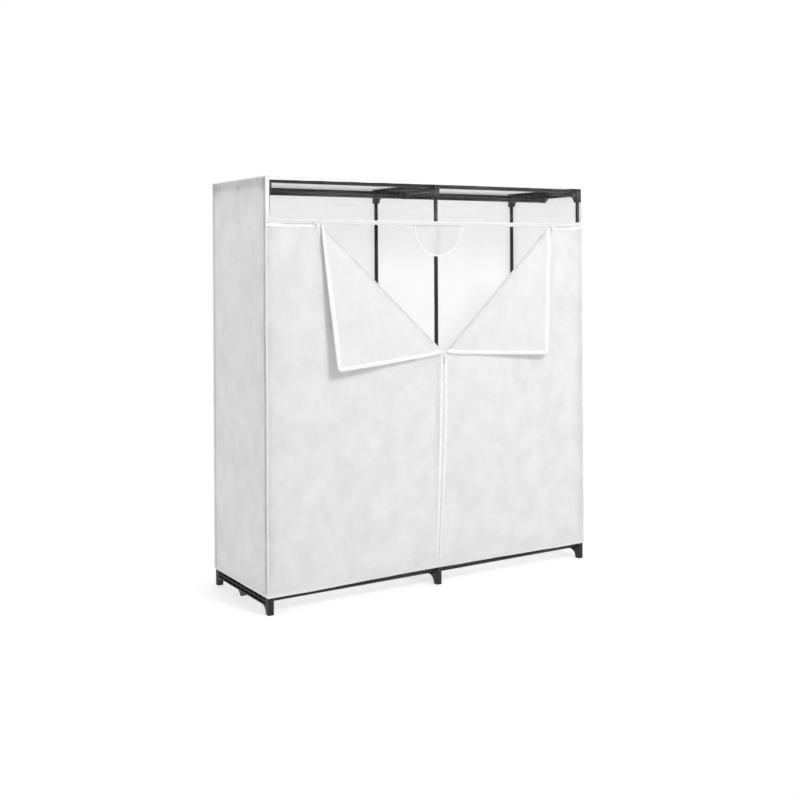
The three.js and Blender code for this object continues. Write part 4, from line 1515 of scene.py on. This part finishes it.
@dataclass
class Window:
    """The clear window, its cloth margins, and the binding that carries the top zip's upper half."""

    finishes: Finishes
    left_margin: float = 0.0135
    right_margin: float = 0.003
    top_margin: float = 0.0068
    film: float = 0.0005
    chain_inset: float = 0.070
    cols: int = 150
    rows: int = 16

    def build(self) -> None:
        """Builds the pane, its margins, the binding, its teeth and its stitches."""
        self.pane()
        self.margins()
        self.binding()

    def pane(self) -> None:
        """Makes the clear pane, slightly rippled."""
        foot, top = COVER.top_zip_z + COVER.binding_height - 0.002, COVER.height - 0.001
        width = COVER.half_width - 0.001

        def place(r: int, c: int) -> Triple:
            """A point of the pane.

            Args:
                r: its row.
                c: its column.

            Returns:
                The point.
            """
            u, v = c / self.cols, r / self.rows
            x = -width + 2 * width * u
            z = foot + (top - foot) * v + (1 - v) * COVER.zip_rise(x)
            held = smoothstep(min(v, 1 - v), 0, 0.3) * smoothstep(min(u, 1 - u), 0, 0.04)
            return x, COVER.front_mid_y - (waver(0.0016, x * 5, z * 14, 2) + 0.0006) * held, z

        piece = cloth_object("window_pane", grid_of(self.rows, self.cols, place), FRONT, self.film)
        dress(piece, self.finishes.vinyl, "window_vinyl", nodes=["window"])

    def margins(self) -> None:
        """Makes the white cloth margins at the pane's two ends and along its top."""
        y, top = COVER.front_mid_y, COVER.height - 0.0015
        strips = {"top": []}
        for x in np.linspace(-COVER.half_width + 0.003, COVER.half_width - 0.001, 140):
            foot = top - (self.top_margin - 0.0038 * x / COVER.half_width + waver(0.0010, x * 14, 7, 3))
            lip = (-0.0006, foot - 0.0004)
            section = ((0.0004, top), (-0.0014, top), (-0.0016, foot), lip, (0.0004, foot))
            strips["top"].append([Vector((x, y + off, z)) for off, z in section])
        for side, width in ((Side.LEFT, self.left_margin), (Side.RIGHT, self.right_margin)):
            outer = side.value * (COVER.half_width - 0.0004)
            foot = COVER.top_zip_z + COVER.binding_height - 0.003 + COVER.zip_rise(outer)
            rings = strips[side.word] = []
            for z in (foot + (top - foot) * step / 24 for step in range(25)):
                inner = outer - side.value * (width + waver(0.0012, z * 22, side.value, 4))
                lip = (inner - side.value * 0.0004, -0.0002)
                section = ((outer, 0.0006), (outer, -0.0009), (inner, -0.0010), lip, (inner, 0.0006))
                rings.append([Vector((x, y + off, z)) for x, off in section])
        for word, rings in strips.items():
            strip = make_object(f"{word}_window_margin", *loft(rings), SEWN_DEGREES)
            dress(strip, self.finishes.binding, "edge_binding")

    def binding(self) -> None:
        """Makes the binding under the pane, which carries the top zip's upper half."""
        y, height, width = COVER.front_mid_y, COVER.binding_height, COVER.half_width - 0.002
        lines = []
        for x in np.linspace(-width, width, 160):
            foot = COVER.top_zip_z + 0.0007 + COVER.zip_rise(x)
            lines.append(((x, y, foot + height + waver(0.0006, x * 6, 1, 8)), (x, y, foot)))
        piece = make_object("window_binding", *loft(tape_rings(lines, 31.0)), SEWN_DEGREES)
        dress(piece, self.finishes.band, "edge_binding", nodes=["window_zip_binding"])
        reach = COVER.half_width - self.chain_inset
        chain = top_zip_path(-reach, reach, y - 0.0002, 0.0010)
        TEETH.make("window_binding_teeth", [chain], self.finishes.teeth, "zip_tape")
        seams = [top_zip_path(-width, width, y - 0.0017, 0.0007 + height * share) for share in (0.42, 0.90)]
        STITCHES.make("window_binding_stitches", seams, self.finishes.thread, "edge_binding")


@dataclass
class Trim:
    """The piping round the cover's edges and the hem round its foot."""

    finishes: Finishes
    piping_radius: float = 0.0025
    hem_thickness: float = 0.0016
    sides: int = 10

    def build(self) -> None:
        """Builds the pipings and the hem."""
        self.uprights()
        self.top_loop()
        self.hem()

    @property
    def turns(self) -> list[float]:
        """The angles round a piping."""
        return [2 * math.pi * k / self.sides for k in range(self.sides)]

    def uprights(self) -> None:
        """Makes the four upright pipings, each with a slight wander."""
        foot, top, steps = COVER.hem_foot_z + 0.006, COVER.height - 0.001, 120
        for side, (row, sy) in ((side, row) for side in Side for row in ROWS):
            x, y = side.value * COVER.half_width, COVER.middle_y + sy * COVER.half_depth
            seed = side.value + 3 * sy
            rings = []
            for step in range(steps + 1):
                z = foot + (top - foot) * step / steps
                fade = 0.0010 * smoothstep(min(step, steps - step), 0, 8)
                cx, cy = x + waver(fade, z * 7, seed, 1), y + waver(fade, z * 6, seed, 6)
                r = self.piping_radius * (1 + waver(0.10, z * 40, seed, 3))
                rings.append([Vector((cx + r * math.cos(t), cy + r * math.sin(t), z)) for t in self.turns])
            piece = make_object(f"{side.word}_{row}_edge_piping", *loft(rings), PIPED_DEGREES)
            dress(piece, self.finishes.binding, "edge_binding", nodes=[f"{side.word}_{row}_piping"])

    @staticmethod
    def around(count: int, half_width: float, half_depth: float) -> Path:
        """Places round the cover's rectangle with their outward directions.

        Args:
            count: places on each long side.
            half_width: the rectangle's half width.
            half_depth: its half depth.

        Returns:
            (place, outward) pairs in order round the cover.
        """
        signs = ((-1, -1), (1, -1), (1, 1), (-1, 1))
        corners = [Vector((sx * half_width, COVER.middle_y + sy * half_depth, 0)) for sx, sy in signs]
        places: Path = []
        for index, out in enumerate(((0, -1, 0), (1, 0, 0), (0, 1, 0), (-1, 0, 0))):
            start, end = corners[index], corners[(index + 1) % 4]
            steps = count if index % 2 == 0 else max(4, count // 3)
            places.append((start, Vector((*signs[index], 0))))
            places += [(start.lerp(end, k / steps), Vector(out)) for k in range(1, steps)]
        return places

    def top_loop(self) -> None:
        """Makes the piping round the top edges."""
        rings, r = [], self.piping_radius
        for index, (place, out) in enumerate(self.around(120, COVER.half_width, COVER.half_depth)):
            z = COVER.height + waver(0.0007, index * 0.31, 5, 5)
            rings.append([
                place + out * r * math.cos(t) + Vector((0, 0, z + r * math.sin(t))) for t in self.turns
            ])
        piece = make_object("top_edge_piping", *loft(rings, closed=True), PIPED_DEGREES)
        dress(piece, self.finishes.binding, "edge_binding", nodes=["top_piping"])

    def hem(self) -> None:
        """Makes the bound hem, whose lower edge waves a little, with its stitches."""
        rings, path, thick = [], [], self.hem_thickness
        for place, out in self.around(150, COVER.half_width - 0.0008, COVER.half_depth - 0.0008):
            x, y, sag = place.x, place.y, COVER.hem_sag(place.x)
            drop = sag + waver(0.0012, x * 3.1, y * 3.1, 9)
            drop += waver(0.0010, x * 11, y * 11, 4)
            foot, top = COVER.hem_foot_z + drop, COVER.hem_foot_z + COVER.hem_height + 0.002 + sag
            belly = thick * 1.2 + waver(0.0007, x * 8, y * 8, 2)
            section = (
                (0, foot), (thick * 0.7, foot - 0.0004), (belly, foot + 0.0018), (thick, (foot + top) / 2),
                (thick * 0.9, top - 0.0008), (thick * 0.5, top), (0, top),
            )
            rings.append([place + out * d + Vector((0, 0, z)) for d, z in section])
            path.append((place + out * thick * 1.02 + Vector((0, 0, top - 0.0028)), out.normalized()))
        piece = make_object("hem_binding", *loft(rings, closed=True), SEWN_DEGREES)
        dress(piece, self.finishes.hem, "edge_binding", nodes=["bottom_hem"])
        STITCHES.make("hem_stitches", [path + path[:1]], self.finishes.thread, "edge_binding")


@dataclass
class Guard:
    """The half-round cloth guard behind the zips' crossing, with its bound edge."""

    finishes: Finishes
    centre_x: float = 0.008
    half_width: float = 0.117
    straight: float = 0.014
    straight_share: float = 0.08
    drop: float = 0.136
    rise: float = 0.011
    binding_width: float = 0.007
    stand_back: float = 0.0016
    cols: int = 60
    rows: int = 26
    edge_steps: int = 90
    edge_profile: tuple[Pair, ...] = (
        (0.0, 0.0), (0.03, 0.0011), (0.5, 0.0014), (0.97, 0.0011), (1.0, 0.0),
        (0.97, -0.0008), (0.03, -0.0008),
    )

    def build(self) -> None:
        """Builds the guard's cloth, its binding and its stitches."""
        self.cloth()
        self.binding()

    @property
    def top(self) -> float:
        """Height of the guard's upper edge."""
        return COVER.top_zip_z + self.rise

    def edge(self, share: float, inset: float) -> Pair:
        """A place on the guard's outline.

        Args:
            share: 0 at the top left, 1 at the top right.
            inset: how far inside the outline.

        Returns:
            X and Z.
        """
        springing, half, end = self.top - self.straight, self.half_width - inset, self.straight_share
        if share < end:
            return self.centre_x - half, self.top + (springing - self.top) * share / end
        if share > 1 - end:
            return self.centre_x + half, self.top + (springing - self.top) * (1 - share) / end
        angle = math.pi + math.pi * (share - end) / (1 - 2 * end)
        deep = self.drop - self.straight - inset
        return self.centre_x + half * math.cos(angle), springing + deep * math.sin(angle)

    def y_at(self, x: float, z: float) -> float:
        """Y of the guard's cloth, which hangs with a slight wave towards its foot."""
        hang = smoothstep(COVER.top_zip_z - z, 0.0, 0.12) * (0.0012 + waver(0.0016, x * 18, z * 9, 12))
        return COVER.front_y + COVER.cloth + self.stand_back + hang

    def cloth(self) -> None:
        """Makes the guard's cloth."""
        edges = [self.edge(c / self.cols, self.binding_width * 0.5) for c in range(self.cols + 1)]

        def place(r: int, c: int) -> Triple:
            """A point of the guard.

            Args:
                r: its row.
                c: its column.

            Returns:
                The point.
            """
            x, foot = edges[c]
            z = foot + (self.top - foot) * r / self.rows
            return x, self.y_at(x, z), z

        piece = cloth_object("zip_guard_cloth", grid_of(self.rows, self.cols, place), FRONT)
        dress(piece, self.finishes.guard_cloth, "cover_cloth", nodes=["zip_guard"])

    def binding(self) -> None:
        """Makes the guard's bound edge and its stitches."""
        rings, path = [], []
        for share in (step / self.edge_steps for step in range(self.edge_steps + 1)):
            ring = []
            for inward, lift in self.edge_profile:
                x, z = self.edge(share, inward * self.binding_width)
                ring.append(Vector((x, self.y_at(x, z) - lift, z)))
            rings.append(ring)
            x, z = self.edge(share, 0.82 * self.binding_width)
            path.append((Vector((x, self.y_at(x, z) - 0.0013, z)), FRONT))
        piece = make_object("zip_guard_edge", *loft(rings), SEWN_DEGREES)
        dress(piece, self.finishes.binding, "edge_binding", nodes=["zip_guard_binding"])
        STITCHES.make("zip_guard_stitches", [path], self.finishes.thread, "edge_binding")


@dataclass
class ZipHardware:
    """The three sliders, their pulls and the centre zip's bottom stop."""

    cad: dict
    finishes: Finishes
    slider_round: float = 0.0006
    pull_round: float = 0.0003
    stop_round: float = 0.0005
    grip_foot: float = 0.0015
    grip_top: float = 0.0105

    def part(self, node: str, name: str, width: float, body: str) -> None:
        """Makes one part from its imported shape.

        Args:
            node: the node's name.
            name: the piece's name.
            width: how far its edges are rounded.
            body: the body that it rides on.
        """
        piece = rounded_copy(self.cad["nodes"][node], name, width)
        dress(piece, self.finishes.enamel, "zip_enamel", body, [node])

    def build(self) -> None:
        """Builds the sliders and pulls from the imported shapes, with rounded edges and grip ribs."""
        grip = Row(RowKind.RIB, pitch=0.0018, length=0.0008, width=0.0034, height=0.0006)
        for word in ("centre", "left", "right"):
            body = f"{word}_zip_pull"
            self.part(f"{word}_slider", f"{word}_slider_body", self.slider_round, f"{word}_zip_slider")
            self.part(f"{word}_pull", f"{word}_pull_blade", self.pull_round, body)
            low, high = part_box(f"{word}_pull")
            x, face = (low[0] + high[0]) / 2, (low[1] + high[1]) / 2 - 0.0007
            path = line((x, face, low[2] + self.grip_foot), (x, face, low[2] + self.grip_top), FRONT)
            grip.make(f"{word}_pull_grip", [path], self.finishes.enamel, "zip_enamel", body)
        self.part("centre_zip_stop", "centre_zip_bottom_stop", self.stop_round, ROOT)


# The studio


@dataclass
class Studio:
    """Camera, lamps, world and floor."""

    focal_pixels: float = 1138.71
    frame_pixels: float = 800
    principal_row: float = 264
    eye: Triple = (-2.56345, -4.05576, 1.30837)
    yaw: float = 0.5569
    pitch: float = -0.0023
    roll: float = -0.0055
    world_light: float = 0.62
    floor_glow: float = 0.54
    floor_reach: float = 14.0
    shadow_reach: Pair = (0.98, 1.32)
    shadow_shape: Triple = (1.22, 1.0, 1.0)

    def build(self) -> None:
        """Sets up the studio."""
        self.camera()
        self.world()
        self.lamp("key", (0.6, -3.7, 3.6), (0.0, 0.0, 0.9), 1.2, 97)
        self.lamp("left", (-4.0, 0.4, 1.8), (-0.7, 0.0, 0.9), 2.4, 20)
        self.lamp("top", (0.2, -0.3, 4.2), (0.0, 0.0, 0.0), 2.6, 6)
        self.lamp("back", (0.1, 2.2, 3.0), (0.0, 0.25, 1.3), 2.4, 24.5)
        self.lamp("right", (3.4, 0.6, 1.7), (0.7, 0.0, 1.1), 2.4, 22)
        self.floor()
        bpy.context.scene.view_settings.view_transform = "Standard"

    def camera(self) -> None:
        """Puts the camera at the photograph's place and angle."""
        level = math.cos(self.pitch)
        ahead = Vector((math.sin(self.yaw) * level, math.cos(self.yaw) * level, math.sin(self.pitch)))
        right = Vector((math.cos(self.yaw), -math.sin(self.yaw), 0))
        up = right.cross(ahead)
        turned_right = right * math.cos(self.roll) + up * math.sin(self.roll)
        turned_up = up * math.cos(self.roll) - right * math.sin(self.roll)
        data = bpy.data.cameras.new("camera")
        data.sensor_width = 36
        data.lens = self.focal_pixels / self.frame_pixels * data.sensor_width
        data.shift_y = (self.principal_row - self.frame_pixels / 2) / self.frame_pixels
        data.clip_end = 60
        eye = linked("camera", data)
        turn = Matrix((turned_right, turned_up, -ahead)).transposed().to_4x4()
        eye.matrix_world = Matrix.Translation(self.eye) @ turn
        bpy.context.scene.camera = eye

    @staticmethod
    def seen_factor(graph: Graph) -> Node:
        """A factor that is 1 for camera, glossy and transmission rays.

        Args:
            graph: the tree that needs it.

        Returns:
            The factor's node.
        """
        path = graph.add("ShaderNodeLightPath").outputs
        glossy = graph.sum("MAXIMUM", path["Is Camera Ray"], path["Is Glossy Ray"])
        return graph.sum("MAXIMUM", glossy, path["Is Transmission Ray"])

    def far_factor(self, graph: Graph) -> Node:
        """A factor that rises from 0 to 1 away from the wardrobe.

        Args:
            graph: the floor's tree.

        Returns:
            The factor's node.
        """
        coords = graph.add("ShaderNodeTexCoord").outputs["Object"]
        shape = graph.add("ShaderNodeMapping", Vector=coords, Scale=self.shadow_shape)
        distance = graph.vector("LENGTH", shape).outputs["Value"]
        return graph.add("ShaderNodeMapRange", distance, *self.shadow_reach)

    def world(self) -> None:
        """Makes a plain white surround that lights softly."""
        world = bpy.data.worlds.new("surround")
        bpy.context.scene.world = world
        world.use_nodes = True
        graph = Graph(world.node_tree)
        light = graph.add("ShaderNodeBackground", (*WHITE, 1), self.world_light)
        seen = graph.add("ShaderNodeBackground", (*WHITE, 1))
        mix = graph.add("ShaderNodeMixShader", self.seen_factor(graph), light, seen)
        graph.add("ShaderNodeOutputWorld", mix)

    @staticmethod
    def lamp(name: str, place: Triple, target: Triple, size: float, power: float) -> None:
        """Makes one square soft lamp.

        Args:
            name: the lamp's name.
            place: where it stands.
            target: what it faces.
            size: its edge.
            power: its power in watts.
        """
        data = bpy.data.lights.new(name, "AREA")
        data.size = size
        data.energy = power
        lamp = linked(name, data)
        lamp.location = place
        lamp.rotation_euler = (Vector(target) - Vector(place)).to_track_quat("-Z", "Y").to_euler()

    def floor(self) -> None:
        """Makes the pale floor, which shows white but keeps the wardrobe's shadow."""
        mesh, far = bpy.data.meshes.new("floor"), self.floor_reach
        mesh.from_pydata([(-far, -far, 0), (far, -far, 0), (far, far, 0), (-far, far, 0)], [], [(0, 1, 2, 3)])
        floor = linked("floor", mesh)
        floor.location.z = -0.0002
        paint = Paint("pale_floor")
        plain = paint.add("ShaderNodeBsdfDiffuse", (*grey(0.75), 1))
        shown = paint.add("ShaderNodeBsdfDiffuse", (*grey(0.55), 1))
        glow = paint.add("ShaderNodeEmission", Strength=self.floor_glow)
        near = paint.add("ShaderNodeAddShader", shown, glow)
        fade = paint.add("ShaderNodeMixShader", self.far_factor(paint), near, paint.add("ShaderNodeEmission"))
        seen = paint.add("ShaderNodeMixShader", self.seen_factor(paint), plain, fade)
        mesh.materials.append(paint.done(seen))


def main() -> None:
    """Builds the wardrobe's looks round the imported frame, and the studio."""
    logging.basicConfig(level=logging.INFO, format="%(name)s: %(message)s")
    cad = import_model()
    Studio().build()
    finishes = Finishes()
    TubeFrame(cad, finishes).build()
    ClothPanels(finishes).build()
    for fold in (LEFT_FOLD, RIGHT_FOLD):
        Door(fold, finishes).build()
        TurnedCorner(fold, finishes).build()
    for part in (Window(finishes), Trim(finishes), Guard(finishes), ZipHardware(cad, finishes)):
        part.build()


if __name__ == "__main__":
    main()
